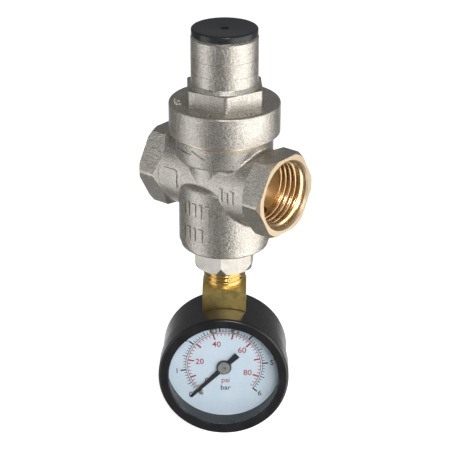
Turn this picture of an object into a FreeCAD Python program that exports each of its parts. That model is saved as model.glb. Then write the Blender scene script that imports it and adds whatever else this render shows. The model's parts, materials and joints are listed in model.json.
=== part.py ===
import FreeCAD, Part
import math
import os

from FreeCAD import Placement, Rotation, Vector

# Pressure reducing valve, 1/2 inch, with a 40 mm gauge screwed into its bottom plug.
# Millimetres. Z is the valve axis, X the flow direction (inlet at -X, outlet at +X),
# and the origin is where the axis of the two ports crosses the valve axis.

# Pipe threads (ISO 228): major radii
G12_R = 10.48
G14_R = 6.58
G38_R = 8.33

# Forged body
PORT_FACE_X = 23.7
PORT_THREAD_END_X = 14.4
PORT_HEX_START_X = 16.2
PORT_HEX_AF = 24.0
PORT_HEX_CORNER_R = 13.5
PORT_MOUTH_R = 11.0
TUBE_R = 12.0
BARREL_R = 14.1
BARREL_TOP_Z = 0.6
SHOULDER_ROUND = 2.6
LIP_R = 13.6
LIP_TOP_Z = -19.8
BODY_BOTTOM_Z = -22.0
WAIST_R = 12.0
COLLAR_R = 14.85
COLLAR_BOTTOM_Z = 7.2
COLLAR_TOP_Z = 13.9
BARE_RING_R = 14.7
JOINT_Z = 15.4
NECK_R = 13.85
NECK_TOP_Z = 22.0
CAST_RELIEF = 0.35
ARROW_TAIL = -33.0
ARROW_BACK = -2.0
ARROW_TIP = 14.5
ARROW_HALF_SHAFT = 0.8
ARROW_HALF_HEAD = 2.1
BAR_ROWS = ((-4.6, (1.4, 0.9, 1.4, 0.9, 1.4)), (-12.6, (0.9, 1.4, 0.9, 1.4)))
BAR_HEIGHT = 4.4
BAR_START = -21.0
BAR_STEP = 9.5
PIP_X = (7.6, 9.7, 11.8)
PIP_WIDTH = 1.1
PLATE_X = -15.4
PLATE_WIDTH = 6.4
PLATE_HEIGHT = 6.6

# Waterways inside the body
SMOOTH_BORE_R = 8.6
INLET_STEP_X = -10.5
INLET_BORE_R = 6.0
OUTLET_WALL_X = 9.0
INLET_CHAMBER_R = 6.2
CHAMBER_FLOOR_Z = -5.6
CHAMBER_ROOF_Z = 5.4
SEAT_BORE_R = 4.5
SEAT_LIP_R = 5.3
SEAT_ROOF_Z = -9.0
SEAT_LIP_Z = -9.7
OUTLET_CHAMBER_R = 8.9
OUTLET_CHAMBER_FLOOR_Z = -16.0
PASSAGE_R = 3.8
PASSAGE_TOP = Vector(16.0, 0, -3.0)
PASSAGE_LENGTH = 16.0
PLUG_SEAT_R = 9.25
PLUG_SEAT_Z = -20.7
BALANCE_BORE_R = 4.65
CYLINDER_R = 12.0
CYLINDER_FLOOR_Z = 10.5

# Bonnet (spring housing)
FLANGE_R = 16.9
FLANGE_TOP_Z = 25.0
FLANGE_CEILING_Z = 22.4
BONNET_HEX_AF = 22.3
BONNET_HEX_AZIMUTH = 41.0
BONNET_HEX_TOP_Z = 29.9
SHOULDER_R = 10.95
SHOULDER_TOP_Z = 31.2
HOUSING_R = 10.16
HOUSING_TOP_Z = 45.45
HOUSING_BORE_R = 8.9
RING_LINES_Z = (34.6, 39.0)
RING_LINE_DEPTH = 0.1
RING_LINE_WIDTH = 0.24
FLANGE_MARK_GROUPS = ((-52.0, 4, 5.5), (13.0, 3, 5.0), (50.0, 6, 5.5))
FLANGE_MARK_WIDTH = 0.55
FLANGE_MARK_OUTER_R = 15.4
FLANGE_MARK_RELIEF = 0.25

# Cap
CAP_R = 10.02
CAP_TOP_Z = 47.65
CAP_DISH_R = 8.7
CAP_DISH_DEPTH = 0.35
CAP_HOLE_R = 1.3
CAP_SKIRT_R = 8.82
CAP_SKIRT_WALL = 1.2
CAP_SKIRT_DEPTH = 1.6

# Adjuster and main spring
NUT_R = 8.84
NUT_BOTTOM_Z = 38.0
NUT_HEIGHT = 4.6
NUT_SOCKET_AF = 8.0
WASHER_R = 8.5
WASHER_BORE_R = 4.65
WASHER_THICKNESS = 1.15
WASHER_TOP_Z = NUT_BOTTOM_Z - 0.05
SPRING_MEAN_R = 7.25
SPRING_WIRE_R = 1.15
SPRING_PITCH = 4.3

# Piston set, drawn fully open
VALVE_LIFT = 2.45
PISTON_R = 11.95
PISTON_BOTTOM_Z = 13.0
PISTON_TOP_Z = 19.0
PISTON_GROOVE_R = 10.2
PISTON_GROOVE_Z = (15.2, 17.3)
PISTON_RING_WIRE_R = 0.85
HUB_R = 5.9
HUB_TOP_Z = 20.5
HUB_REST_Z = 10.55
STEM_R = 2.6
STEM_END_R = 2.0
STEM_COLLAR_R = 3.4
STEM_COLLAR_Z = (4.4, 5.4)
STEM_BORE_R = 0.8
STEM_TOP_Z = 24.2
STEM_BOTTOM_Z = -18.4
SENSING_HOLE_Z = 11.8
BALANCE_PISTON_R = 4.58
BALANCE_PISTON_TOP_Z = 9.9
BALANCE_GROOVE_R = 3.2
BALANCE_GROOVE_Z = (6.1, 7.7)
BALANCE_RING_WIRE_R = 0.66
SEAT_DISC_R = 6.4
SEAT_DISC_THICKNESS = 2.0
SEAT_DISC_TOP_Z = SEAT_LIP_Z - VALVE_LIFT - 0.05
HOLDER_R = 7.2
HOLDER_BASE = 1.6
HOLDER_RIM = 1.4
PISTON_NUT_AF = 8.0
PISTON_NUT_HEIGHT = 3.2
HOLDER_NUT_AF = 6.0
HOLDER_NUT_HEIGHT = 2.6

# Bottom plug
PLUG_HEX_AF = 17.4
PLUG_HEX_AZIMUTH = 32.5
PLUG_BOTTOM_Z = -29.9
PLUG_COLLAR_R = 9.4
PLUG_COLLAR_DEPTH = 0.5
PLUG_SPIGOT_TOP_Z = -16.6
PLUG_BORE_R = 5.5
PLUG_SHOULDER_Z = -22.3
PLUG_RING_WIRE_R = (PLUG_SEAT_Z - BODY_BOTTOM_Z) / 2

# Gauge, in its own frame: X to the reader's right, Y into the case, Z up,
# origin on the dial's axis in the plane of the stem's axis
GAUGE_AZIMUTH = 37.5
GAUGE_CENTRE_Z = -62.6
GAUGE_STEM_TOP_Z = -22.9
GAUGE_STEM_BOTTOM_Z = -35.3
GAUGE_THREAD_ROOT_R = 5.85
GAUGE_SEAL_R = 6.4
GAUGE_SEAL_BORE_R = 3.2
SOCKET_AF = 13.6
SOCKET_LOW_Z = 18.4
SOCKET_BORE_R = 1.5
SHANK_HALF_WIDTH = 4.5
SHANK_LOW_Z = 4.6
SHANK_TOP_Z = 18.6
CASE_R = 19.9
CASE_SPIGOT_R = 19.35
CASE_WALL = 1.2
CASE_BACK_Y = 8.3
CASE_FRONT_Y = -11.5
BEZEL_R = 20.5
BEZEL_BACK_Y = -7.0
BEZEL_FRONT_Y = -14.5
BEZEL_INNER_R = 17.25
BEZEL_LIP = 1.2
WINDOW_R = 19.2
WINDOW_THICKNESS = 1.5
DIAL_R = 18.3
DIAL_FRONT_Y = -6.6
DIAL_THICKNESS = 0.4
DIAL_SCREW_X = 3.4
DIAL_SCREW_Z = 12.3
DIAL_SCREW_HEAD_R = 1.3
DIAL_SCREW_HEAD_HEIGHT = 0.75
DIAL_SCREW_SHANK_R = 0.6
DIAL_POST_R = 1.2
DIAL_HOLE_R = 1.4
STOP_PIN_R = 0.7
STOP_PIN_HEIGHT = 1.5
STOP_PIN_RADIUS = 11.8
STOP_PIN_ANGLE = 232.1
POINTER_ZERO_ANGLE = 226.0
POINTER_LENGTH = 15.2
POINTER_TAIL = 6.0
POINTER_HUB_R = 2.35
POINTER_BACK_Y = -7.5
POINTER_THICKNESS = 0.35
BUSH_R = 2.0
BUSH_SLEEVE_R = 1.4
BUSH_FRONT_Y = -8.6

# Gauge movement
PLATE_THICKNESS = 0.8
FRONT_PLATE_Y = -6.2
BACK_PLATE_Y = -1.1
PILLAR_R = 0.9
PILLARS = ((4.6, 5.6), (-4.6, 5.6), (3.6, -11.6))
MOVEMENT_SCREW_X = 2.4
MOVEMENT_SCREW_Z = 7.0
MOVEMENT_SCREW_HEAD_R = 1.2
MOVEMENT_SCREW_SHANK_R = 0.5
ARBOR_R = 0.6
PIVOT_CLEARANCE = 0.05
GEAR_MODULE = 0.25
PINION_TEETH = 12
SECTOR_FULL_TEETH = 84
POINTER_SWEEP = 270.0
SECTOR_DIRECTION = 240.0
SECTOR_Y = -3.9
SECTOR_THICKNESS = 0.8
TAIL_LENGTH = 4.5
TAIL_MID_ANGLE = 190.0
TUBE_MEAN_R = 13.0
TUBE_START_ANGLE = 72.0
TUBE_END_ANGLE = -155.0
TUBE_CENTRE_Y = 3.1
TUBE_WIDTH = 5.0
TUBE_DEPTH = 1.7
TUBE_WALL = 0.35
LINK_Y = -2.9
LINK_THICKNESS = 0.5
LINK_PIN_R = 0.4
LINK_EYE_R = 1.0
HAIRSPRING_TURNS = 3.5
HAIRSPRING_INNER_R = 1.0
HAIRSPRING_OUTER_R = 3.4
HAIRSPRING_THICKNESS = 0.12
HAIRSPRING_WIDTH = 0.45
HAIRSPRING_Y = -2.15

UP = Vector(0, 0, 1)
RIGHT = Vector(1, 0, 0)
INWARD = Vector(0, 1, 0)

os.makedirs("parts", exist_ok=True)


def save(node, shape):
    """Write one sub-part; the file's name is the node's name."""
    shape.exportStep(f"parts/{node}.step")


def rod(radius, z_low, z_high):
    """Cylinder about the Z axis."""
    return Part.makeCylinder(radius, z_high - z_low, Vector(0, 0, z_low))


def tube(outer, inner, z_low, z_high):
    """Hollow cylinder about the Z axis."""
    return rod(outer, z_low, z_high).cut(rod(inner, z_low, z_high))


def rod_x(radius, x_low, x_high):
    """Cylinder about the X axis."""
    return Part.makeCylinder(radius, x_high - x_low, Vector(x_low, 0, 0), RIGHT)


def turned(profile):
    """Solid of revolution about Z from a closed outline of (radius, z) corners."""
    corners = [Vector(r, 0, z) for r, z in profile]
    face = Part.Face(Part.makePolygon(corners + corners[:1]))
    return face.revolve(Vector(0, 0, 0), UP, 360)


def polygon_prism(corners, height):
    """Extrude a closed outline of vectors along the vector height."""
    return Part.Face(Part.makePolygon(corners + corners[:1])).extrude(height)


def hexagon(across_flats, z_low, z_high, azimuth):
    """Hexagonal prism along Z with one corner at the azimuth, measured from -Y towards +X."""
    radius = across_flats / math.sqrt(3)
    angles = [math.radians(azimuth + 60 * i) for i in range(6)]
    corners = [Vector(radius * math.sin(a), -radius * math.cos(a), z_low) for a in angles]
    return polygon_prism(corners, UP * (z_high - z_low))


def edges_at(shape, test):
    """Edges whose middle point passes a test."""
    chosen = []
    for edge in shape.Edges:
        first, last = edge.ParameterRange
        if test(edge.valueAt((first + last) / 2)):
            chosen.append(edge)
    return chosen


def round_edges(shape, radius, test):
    """Fillet the chosen edges."""
    return shape.makeFillet(radius, edges_at(shape, test))


def o_ring(mean_radius, wire_radius, z):
    return Part.makeTorus(mean_radius, wire_radius, Vector(0, 0, z), UP)


# ---------------------------------------------------------------- body

def port_end():
    """Hexagonal end of the outlet, its corners turned off by cones at both ends."""
    radius = PORT_HEX_AF / math.sqrt(3)
    angles = [math.radians(60 * i) for i in range(6)]
    corners = [
        Vector(PORT_HEX_START_X, -radius * math.cos(a), radius * math.sin(a)) for a in angles
    ]
    prism = polygon_prism(corners, RIGHT * (PORT_FACE_X - PORT_HEX_START_X))
    mid_x = (PORT_HEX_START_X + PORT_FACE_X) / 2
    prism = round_edges(prism, 1.2, lambda p: abs(p.x - mid_x) < 0.1)
    outline = [
        (0, PORT_HEX_START_X),
        (TUBE_R - 0.2, PORT_HEX_START_X),
        (PORT_HEX_CORNER_R + 0.4, PORT_HEX_START_X + 1.5),
        (PORT_HEX_CORNER_R + 0.4, PORT_FACE_X - 1.3),
        (PORT_HEX_CORNER_R - 0.8, PORT_FACE_X),
        (0, PORT_FACE_X),
    ]
    envelope = turned(outline)
    envelope.rotate(Vector(0, 0, 0), INWARD, 90)
    return prism.common(envelope)


def body_outside():
    """Barrel, cross tube and collar, blended like a forging."""
    barrel = rod(BARREL_R, LIP_TOP_Z, BARREL_TOP_Z)
    barrel = round_edges(barrel, SHOULDER_ROUND, lambda p: abs(p.z - BARREL_TOP_Z) < 0.01)
    cross = rod_x(TUBE_R, -PORT_HEX_START_X - 1.0, PORT_HEX_START_X + 1.0)
    collar = rod(COLLAR_R, COLLAR_BOTTOM_Z, COLLAR_TOP_Z)
    collar = round_edges(collar, 0.9, lambda p: abs(p.z - COLLAR_BOTTOM_Z) < 0.01)
    waist = rod(WAIST_R, BARREL_TOP_Z - 4.0, COLLAR_BOTTOM_Z + 2.0)
    forging = barrel.fuse([cross, waist, collar]).removeSplitter()
    for radius in (2.2, 1.6, 1.0):
        try:
            blended = forging.makeFillet(radius, edges_at(forging, is_valley))
            if blended.isValid() and blended.Volume > forging.Volume:
                forging = blended
                break
        except Part.OCCError:
            continue
    lip = rod(LIP_R, BODY_BOTTOM_Z, LIP_TOP_Z)
    lip = round_edges(lip, 0.7, lambda p: abs(p.z - BODY_BOTTOM_Z) < 0.01)
    bare_ring = rod(BARE_RING_R, COLLAR_TOP_Z - 1.0, JOINT_Z)
    neck = rod(NECK_R, COLLAR_TOP_Z - 1.0, NECK_TOP_Z)
    outlet = port_end()
    inlet = outlet.copy()
    inlet.rotate(Vector(0, 0, 0), UP, 180)
    return forging.fuse([lip, bare_ring, neck, outlet, inlet])


def is_valley(point):
    """True where the cross tube runs into the barrel, the waist or the collar."""
    across = math.hypot(point.y, point.z)
    return abs(across - TUBE_R) < 0.02 and abs(point.x) < PORT_HEX_START_X - 0.5


def waterways():
    """Everything bored or cored out of the body."""
    cavities = []
    for side in (-1, 1):
        low, high = sorted((side * PORT_THREAD_END_X, side * PORT_FACE_X))
        cavities.append(rod_x(G12_R, low, high))
        mouth_depth = PORT_MOUTH_R - G12_R
        start = Vector(side * PORT_FACE_X, 0, 0)
        mouth = Part.makeCone(PORT_MOUTH_R, G12_R, mouth_depth, start, RIGHT * -side)
        cavities.append(mouth)
    cavities.append(rod_x(SMOOTH_BORE_R, -PORT_THREAD_END_X - 1, INLET_STEP_X))
    cavities.append(rod_x(SMOOTH_BORE_R, OUTLET_WALL_X, PORT_THREAD_END_X + 1))
    cavities.append(rod_x(INLET_BORE_R, INLET_STEP_X - 1, 0))
    cavities.append(rod(INLET_CHAMBER_R, CHAMBER_FLOOR_Z, CHAMBER_ROOF_Z))
    cavities.append(rod(SEAT_BORE_R, SEAT_LIP_Z - 1, CHAMBER_FLOOR_Z + 1))
    cavities.append(rod(BALANCE_BORE_R, CHAMBER_ROOF_Z - 1, CYLINDER_FLOOR_Z + 1))
    cavities.append(rod(CYLINDER_R, CYLINDER_FLOOR_Z, NECK_TOP_Z))
    passage_direction = Vector(-1, 0, -1)
    cavities.append(Part.makeCylinder(PASSAGE_R, PASSAGE_LENGTH, PASSAGE_TOP, passage_direction))
    outlet_chamber = rod(OUTLET_CHAMBER_R, OUTLET_CHAMBER_FLOOR_Z, SEAT_ROOF_Z)
    cavities.append(outlet_chamber.cut(rod(SEAT_LIP_R, SEAT_LIP_Z, SEAT_ROOF_Z)))
    cavities.append(rod(G38_R, BODY_BOTTOM_Z, OUTLET_CHAMBER_FLOOR_Z + 1))
    cavities.append(rod(PLUG_SEAT_R, BODY_BOTTOM_Z, PLUG_SEAT_Z))
    return cavities


def on_barrel(azimuth, z_low, z_high, width, radius):
    """Raised pad on an upright cylinder, centred at an azimuth from -Y towards +X."""
    block = Part.makeBox(width, radius, z_high - z_low, Vector(-width / 2, -radius - 2, z_low))
    block.rotate(Vector(0, 0, 0), UP, azimuth)
    return block.common(rod(radius + CAST_RELIEF, z_low, z_high))


def flow_arrow():
    """Raised arrow on the collar, pointing from the inlet to the outlet."""
    z_mid = (COLLAR_BOTTOM_Z + COLLAR_TOP_Z) / 2 + 0.2
    middle = (ARROW_TAIL + ARROW_TIP) / 2
    half_shaft, half_head = ARROW_HALF_SHAFT, ARROW_HALF_HEAD
    outline = [
        (ARROW_TAIL, -half_shaft), (ARROW_BACK, -half_shaft), (ARROW_BACK, -half_head),
        (ARROW_TIP, 0), (ARROW_BACK, half_head), (ARROW_BACK, half_shaft),
        (ARROW_TAIL, half_shaft),
    ]
    corners = []
    for azimuth, rise in outline:
        across = math.radians(azimuth - middle) * COLLAR_R
        corners.append(Vector(across, -COLLAR_R - 3, z_mid + rise))
    flat = polygon_prism(corners, INWARD * COLLAR_R)
    flat.rotate(Vector(0, 0, 0), UP, middle)
    return flat.common(rod(COLLAR_R + CAST_RELIEF, COLLAR_BOTTOM_Z, COLLAR_TOP_Z))


def cast_marks():
    """Plain raised bars, pips and a blank plate where such a body carries its cast-in data."""
    marks = []
    for row_top, widths in BAR_ROWS:
        for i, width in enumerate(widths):
            azimuth = BAR_START + BAR_STEP * i
            marks.append(on_barrel(azimuth, row_top - BAR_HEIGHT, row_top, width, BARREL_R))
    behind = Vector(0, -TUBE_R - 1.5, 0)
    relief = rod_x(TUBE_R + CAST_RELIEF, -PORT_HEX_START_X, PORT_HEX_START_X)
    for i, x in enumerate(PIP_X):
        height = 3.4 if i == 1 else 4.2
        pip = Part.makeBox(PIP_WIDTH, 6.0, height, behind + Vector(x, 0, -2.2))
        marks.append(pip.common(relief))
    corner = behind + Vector(PLATE_X, 0, -PLATE_HEIGHT / 2)
    plate = Part.makeBox(PLATE_WIDTH, 6.0, PLATE_HEIGHT, corner)
    plate = round_edges(plate, 1.4, lambda p: abs(p.y - corner.y - 3.0) < 0.1)
    marks.append(plate.common(relief))
    return marks


def body():
    shape = body_outside().fuse([flow_arrow()] + cast_marks())
    shape = shape.cut(waterways())
    save("body", shape)


# ---------------------------------------------------------------- bonnet and cap

def bonnet():
    flange = rod(FLANGE_R, JOINT_Z, FLANGE_TOP_Z)
    flange = round_edges(flange, 0.9, lambda p: abs(p.z - FLANGE_TOP_Z) < 0.01)
    nut = hexagon(BONNET_HEX_AF, FLANGE_TOP_Z - 1, BONNET_HEX_TOP_Z, BONNET_HEX_AZIMUTH)
    mid_z = (FLANGE_TOP_Z - 1 + BONNET_HEX_TOP_Z) / 2
    nut = round_edges(nut, 1.5, lambda p: abs(p.z - mid_z) < 0.1)
    housing = turned([
        (0, FLANGE_TOP_Z - 1), (SHOULDER_R, FLANGE_TOP_Z - 1), (SHOULDER_R, BONNET_HEX_TOP_Z),
        (HOUSING_R, SHOULDER_TOP_Z), (HOUSING_R, HOUSING_TOP_Z - 0.6),
        (HOUSING_R - 0.5, HOUSING_TOP_Z), (0, HOUSING_TOP_Z),
    ])
    shape = flange.fuse([nut, housing] + flange_marks()).removeSplitter()
    bores = [
        rod(NECK_R, JOINT_Z, FLANGE_CEILING_Z),
        rod(HOUSING_BORE_R, FLANGE_CEILING_Z - 1, HOUSING_TOP_Z),
    ]
    for z in RING_LINES_Z:
        low, high = z - RING_LINE_WIDTH / 2, z + RING_LINE_WIDTH / 2
        bores.append(tube(HOUSING_R + 1, HOUSING_R - RING_LINE_DEPTH, low, high))
    save("bonnet", shape.cut(bores))


def flange_marks():
    """Small raised bars in three groups on the flange's top."""
    marks = []
    sunk = 0.5
    for start, count, step in FLANGE_MARK_GROUPS:
        for i in range(count):
            length = 1.9 if i % 2 else 1.4
            corner = Vector(-FLANGE_MARK_WIDTH / 2, -FLANGE_MARK_OUTER_R, FLANGE_TOP_Z - sunk)
            bar = Part.makeBox(FLANGE_MARK_WIDTH, length, sunk + FLANGE_MARK_RELIEF, corner)
            bar.rotate(Vector(0, 0, 0), UP, start + step * i)
            marks.append(bar)
    return marks


def cap():
    outline = [
        (CAP_HOLE_R, HOUSING_TOP_Z), (CAP_R, HOUSING_TOP_Z), (CAP_R, CAP_TOP_Z),
        (CAP_DISH_R, CAP_TOP_Z), (CAP_HOLE_R, CAP_TOP_Z - CAP_DISH_DEPTH),
    ]
    disc = turned(outline)
    disc = round_edges(disc, 0.6, lambda p: is_circle(p, CAP_R, CAP_TOP_Z))
    disc = round_edges(disc, 0.4, lambda p: is_circle(p, CAP_R, HOUSING_TOP_Z))
    skirt_low = HOUSING_TOP_Z - CAP_SKIRT_DEPTH
    skirt = tube(CAP_SKIRT_R, CAP_SKIRT_R - CAP_SKIRT_WALL, skirt_low, HOUSING_TOP_Z)
    save("cap", disc.fuse(skirt))


def is_circle(point, radius, z):
    return abs(point.z - z) < 0.01 and abs(math.hypot(point.x, point.y) - radius) < 0.01


# ---------------------------------------------------------------- adjuster and spring

def adjuster():
    top = NUT_BOTTOM_Z + NUT_HEIGHT
    nut = rod(NUT_R, NUT_BOTTOM_Z, top)
    nut = nut.makeChamfer(0.4, edges_at(nut, lambda p: is_circle(p, NUT_R, NUT_BOTTOM_Z)))
    nut = nut.makeChamfer(0.4, edges_at(nut, lambda p: is_circle(p, NUT_R, top)))
    socket = hexagon(NUT_SOCKET_AF, NUT_BOTTOM_Z, top, 0)
    save("adjusting_nut", nut.cut(socket))
    washer = tube(WASHER_R, WASHER_BORE_R, WASHER_TOP_Z - WASHER_THICKNESS, WASHER_TOP_Z)
    save("thrust_washer", washer)


def main_spring():
    """Round wire wound as a helix, its two ends ground flat."""
    low = PISTON_TOP_Z
    high = WASHER_TOP_Z - WASHER_THICKNESS
    helix = Part.makeHelix(SPRING_PITCH, high - low, SPRING_MEAN_R)
    helix.translate(Vector(0, 0, low))
    start = Vector(SPRING_MEAN_R, 0, low)
    rise = math.atan2(SPRING_PITCH, 2 * math.pi * SPRING_MEAN_R)
    tangent = Vector(0, math.cos(rise), math.sin(rise))
    section = Part.Wire(Part.makeCircle(SPRING_WIRE_R, start, tangent))
    coil = Part.Wire(helix).makePipeShell([section], True, True)
    slab = rod(SPRING_MEAN_R + 3, low, high)
    save("main_spring", coil.common(slab))


# ---------------------------------------------------------------- piston set

def piston():
    shape = turned([
        (STEM_END_R, HUB_REST_Z - 0.65), (STEM_END_R, HUB_TOP_Z), (HUB_R, HUB_TOP_Z),
        (HUB_R, PISTON_TOP_Z), (PISTON_R - 0.4, PISTON_TOP_Z), (PISTON_R, PISTON_TOP_Z - 0.4),
        (PISTON_R, PISTON_GROOVE_Z[1]), (PISTON_GROOVE_R, PISTON_GROOVE_Z[1]),
        (PISTON_GROOVE_R, PISTON_GROOVE_Z[0]), (PISTON_R, PISTON_GROOVE_Z[0]),
        (PISTON_R, PISTON_BOTTOM_Z), (HUB_R, PISTON_BOTTOM_Z), (HUB_R, HUB_REST_Z),
        (BALANCE_PISTON_R - 0.1, HUB_REST_Z), (BALANCE_PISTON_R - 0.1, HUB_REST_Z - 0.65),
    ])
    hole_start = Vector(-HUB_R - 1, 0, SENSING_HOLE_Z)
    sensing_hole = Part.makeCylinder(STEM_BORE_R, 2 * HUB_R + 2, hole_start, RIGHT)
    save("piston", shape.cut(sensing_hole))
    groove_mid = sum(PISTON_GROOVE_Z) / 2
    mean = CYLINDER_R - 0.03 - PISTON_RING_WIRE_R
    save("piston_o_ring", o_ring(mean, PISTON_RING_WIRE_R, groove_mid))
    nut_top = HUB_TOP_Z + PISTON_NUT_HEIGHT
    nut = hexagon(PISTON_NUT_AF, HUB_TOP_Z, nut_top, 10).cut(rod(STEM_END_R, HUB_TOP_Z, nut_top))
    save("piston_nut", nut)


def balance_piston():
    low, high = STEM_COLLAR_Z[1], BALANCE_PISTON_TOP_Z
    shape = turned([
        (STEM_END_R, low), (STEM_END_R, high), (BALANCE_PISTON_R, high),
        (BALANCE_PISTON_R, BALANCE_GROOVE_Z[1]), (BALANCE_GROOVE_R, BALANCE_GROOVE_Z[1]),
        (BALANCE_GROOVE_R, BALANCE_GROOVE_Z[0]), (BALANCE_PISTON_R, BALANCE_GROOVE_Z[0]),
        (BALANCE_PISTON_R, low),
    ])
    save("balance_piston", shape)
    groove_mid = sum(BALANCE_GROOVE_Z) / 2
    mean = BALANCE_BORE_R - 0.03 - BALANCE_RING_WIRE_R
    save("balance_o_ring", o_ring(mean, BALANCE_RING_WIRE_R, groove_mid))


def stem():
    """Stem drilled along its axis, so that outlet pressure reaches the piston's underside."""
    shape = turned([
        (0, STEM_BOTTOM_Z), (STEM_END_R, STEM_BOTTOM_Z), (STEM_END_R, SEAT_DISC_TOP_Z),
        (STEM_R, SEAT_DISC_TOP_Z), (STEM_R, STEM_COLLAR_Z[0]), (STEM_COLLAR_R, STEM_COLLAR_Z[0]),
        (STEM_COLLAR_R, STEM_COLLAR_Z[1]), (STEM_END_R, STEM_COLLAR_Z[1]),
        (STEM_END_R, STEM_TOP_Z - 0.4), (STEM_END_R - 0.4, STEM_TOP_Z), (0, STEM_TOP_Z),
    ])
    bore = rod(STEM_BORE_R, STEM_BOTTOM_Z, SENSING_HOLE_Z)
    hole_start = Vector(-STEM_R, 0, SENSING_HOLE_Z)
    cross_hole = Part.makeCylinder(STEM_BORE_R, 2 * STEM_R, hole_start, RIGHT)
    save("stem", shape.cut([bore, cross_hole]))


def seat_disc_and_holder():
    top = SEAT_DISC_TOP_Z
    bottom = top - SEAT_DISC_THICKNESS
    save("seat_disc", tube(SEAT_DISC_R, STEM_END_R, bottom, top))
    base = bottom - HOLDER_BASE
    holder = turned([
        (STEM_END_R, base), (HOLDER_R - 0.5, base), (HOLDER_R, base + 0.5),
        (HOLDER_R, bottom + HOLDER_RIM), (SEAT_DISC_R, bottom + HOLDER_RIM),
        (SEAT_DISC_R, bottom), (STEM_END_R, bottom),
    ])
    save("disc_holder", holder)
    nut_low = base - HOLDER_NUT_HEIGHT
    nut = hexagon(HOLDER_NUT_AF, nut_low, base, 20).cut(rod(STEM_END_R, nut_low, base))
    save("holder_nut", nut)


# ---------------------------------------------------------------- bottom plug

def bottom_plug():
    hex_top = BODY_BOTTOM_Z - PLUG_COLLAR_DEPTH
    nut = hexagon(PLUG_HEX_AF, PLUG_BOTTOM_Z, hex_top, PLUG_HEX_AZIMUTH)
    corner = PLUG_HEX_AF / math.sqrt(3)
    turned_off = turned([
        (0, PLUG_BOTTOM_Z), (corner - 2.0, PLUG_BOTTOM_Z), (corner - 0.8, PLUG_BOTTOM_Z + 0.7),
        (corner, PLUG_BOTTOM_Z + 3.0), (corner, hex_top), (0, hex_top),
    ])
    nut = nut.common(turned_off)
    collar = rod(PLUG_COLLAR_R, hex_top, BODY_BOTTOM_Z)
    ring_seat = rod(PLUG_SEAT_R - 2 * PLUG_RING_WIRE_R - 0.1, BODY_BOTTOM_Z, PLUG_SEAT_Z)
    spigot = rod(G38_R, PLUG_SEAT_Z, PLUG_SPIGOT_TOP_Z)
    shape = nut.fuse([collar, ring_seat, spigot])
    bores = [
        rod(G14_R, PLUG_BOTTOM_Z, PLUG_SHOULDER_Z),
        rod(PLUG_BORE_R, PLUG_SHOULDER_Z, PLUG_SPIGOT_TOP_Z),
    ]
    save("bottom_plug", shape.cut(bores))
    ring_z = BODY_BOTTOM_Z + PLUG_RING_WIRE_R
    save("plug_o_ring", o_ring(PLUG_SEAT_R - 0.05 - PLUG_RING_WIRE_R, PLUG_RING_WIRE_R, ring_z))
    save("gauge_seal", tube(GAUGE_SEAL_R, GAUGE_SEAL_BORE_R, GAUGE_STEM_TOP_Z, PLUG_SHOULDER_Z))


# ---------------------------------------------------------------- gauge

def place_gauge(shape):
    """Carry a shape from the gauge's frame to the valve's."""
    turn = Rotation(UP, GAUGE_AZIMUTH)
    moved = shape.copy()
    moved.Placement = Placement(Vector(0, 0, GAUGE_CENTRE_Z), turn).multiply(shape.Placement)
    return moved


def save_gauge(node, shape):
    save(node, place_gauge(shape))


def disc_y(radius, y_front, y_back, x=0.0, z=0.0):
    """Cylinder along the gauge's axis, centred at (x, z)."""
    return Part.makeCylinder(radius, y_back - y_front, Vector(x, y_front, z), INWARD)


def block(x_low, x_high, y_low, y_high, z_low, z_high):
    size = (x_high - x_low, y_high - y_low, z_high - z_low)
    return Part.makeBox(*size, Vector(x_low, y_low, z_low))


def turned_y(profile):
    """Solid of revolution about the gauge's axis from (radius, y) corners."""
    corners = [Vector(r, y, 0) for r, y in profile]
    face = Part.Face(Part.makePolygon(corners + corners[:1]))
    return face.revolve(Vector(0, 0, 0), INWARD, 360)


def flat_plate(outline, y_front, thickness):
    """Flat plate from (x, z) corners, as the reader sees it."""
    corners = [Vector(x, y_front, z) for x, z in outline]
    return polygon_prism(corners, INWARD * thickness)


def polar(radius, degrees):
    """Place on the dial as the reader sees it, the angle anticlockwise from the right."""
    angle = math.radians(degrees)
    return radius * math.cos(angle), radius * math.sin(angle)


def bourdon_tube():
    """Flattened brass tube bent through most of a circle, closed at the tip."""
    sweep = TUBE_START_ANGLE - TUBE_END_ANGLE
    shapes = []
    for inset in (0.0, TUBE_WALL):
        half_w = TUBE_WIDTH / 2 - inset
        half_d = TUBE_DEPTH / 2 - inset
        low, high = TUBE_CENTRE_Y - half_w, TUBE_CENTRE_Y + half_w
        ring = disc_y(TUBE_MEAN_R + half_d, low, high).cut(disc_y(TUBE_MEAN_R - half_d, low, high))
        shapes.append(ring.common(wedge(TUBE_END_ANGLE + inset * 6, sweep - inset * 6, low, high)))
    save_gauge("bourdon_tube", shapes[0].cut(shapes[1]))


def wedge(start, sweep, y_low, y_high):
    """Slice of a disc from a start angle, anticlockwise to the reader."""
    radius = 2 * TUBE_MEAN_R
    steps = max(2, round(sweep / 30))
    outline = [(0, 0)]
    for i in range(steps + 1):
        outline.append(polar(radius, start + sweep * i / steps))
    return flat_plate(outline, y_low, y_high - y_low)


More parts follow.
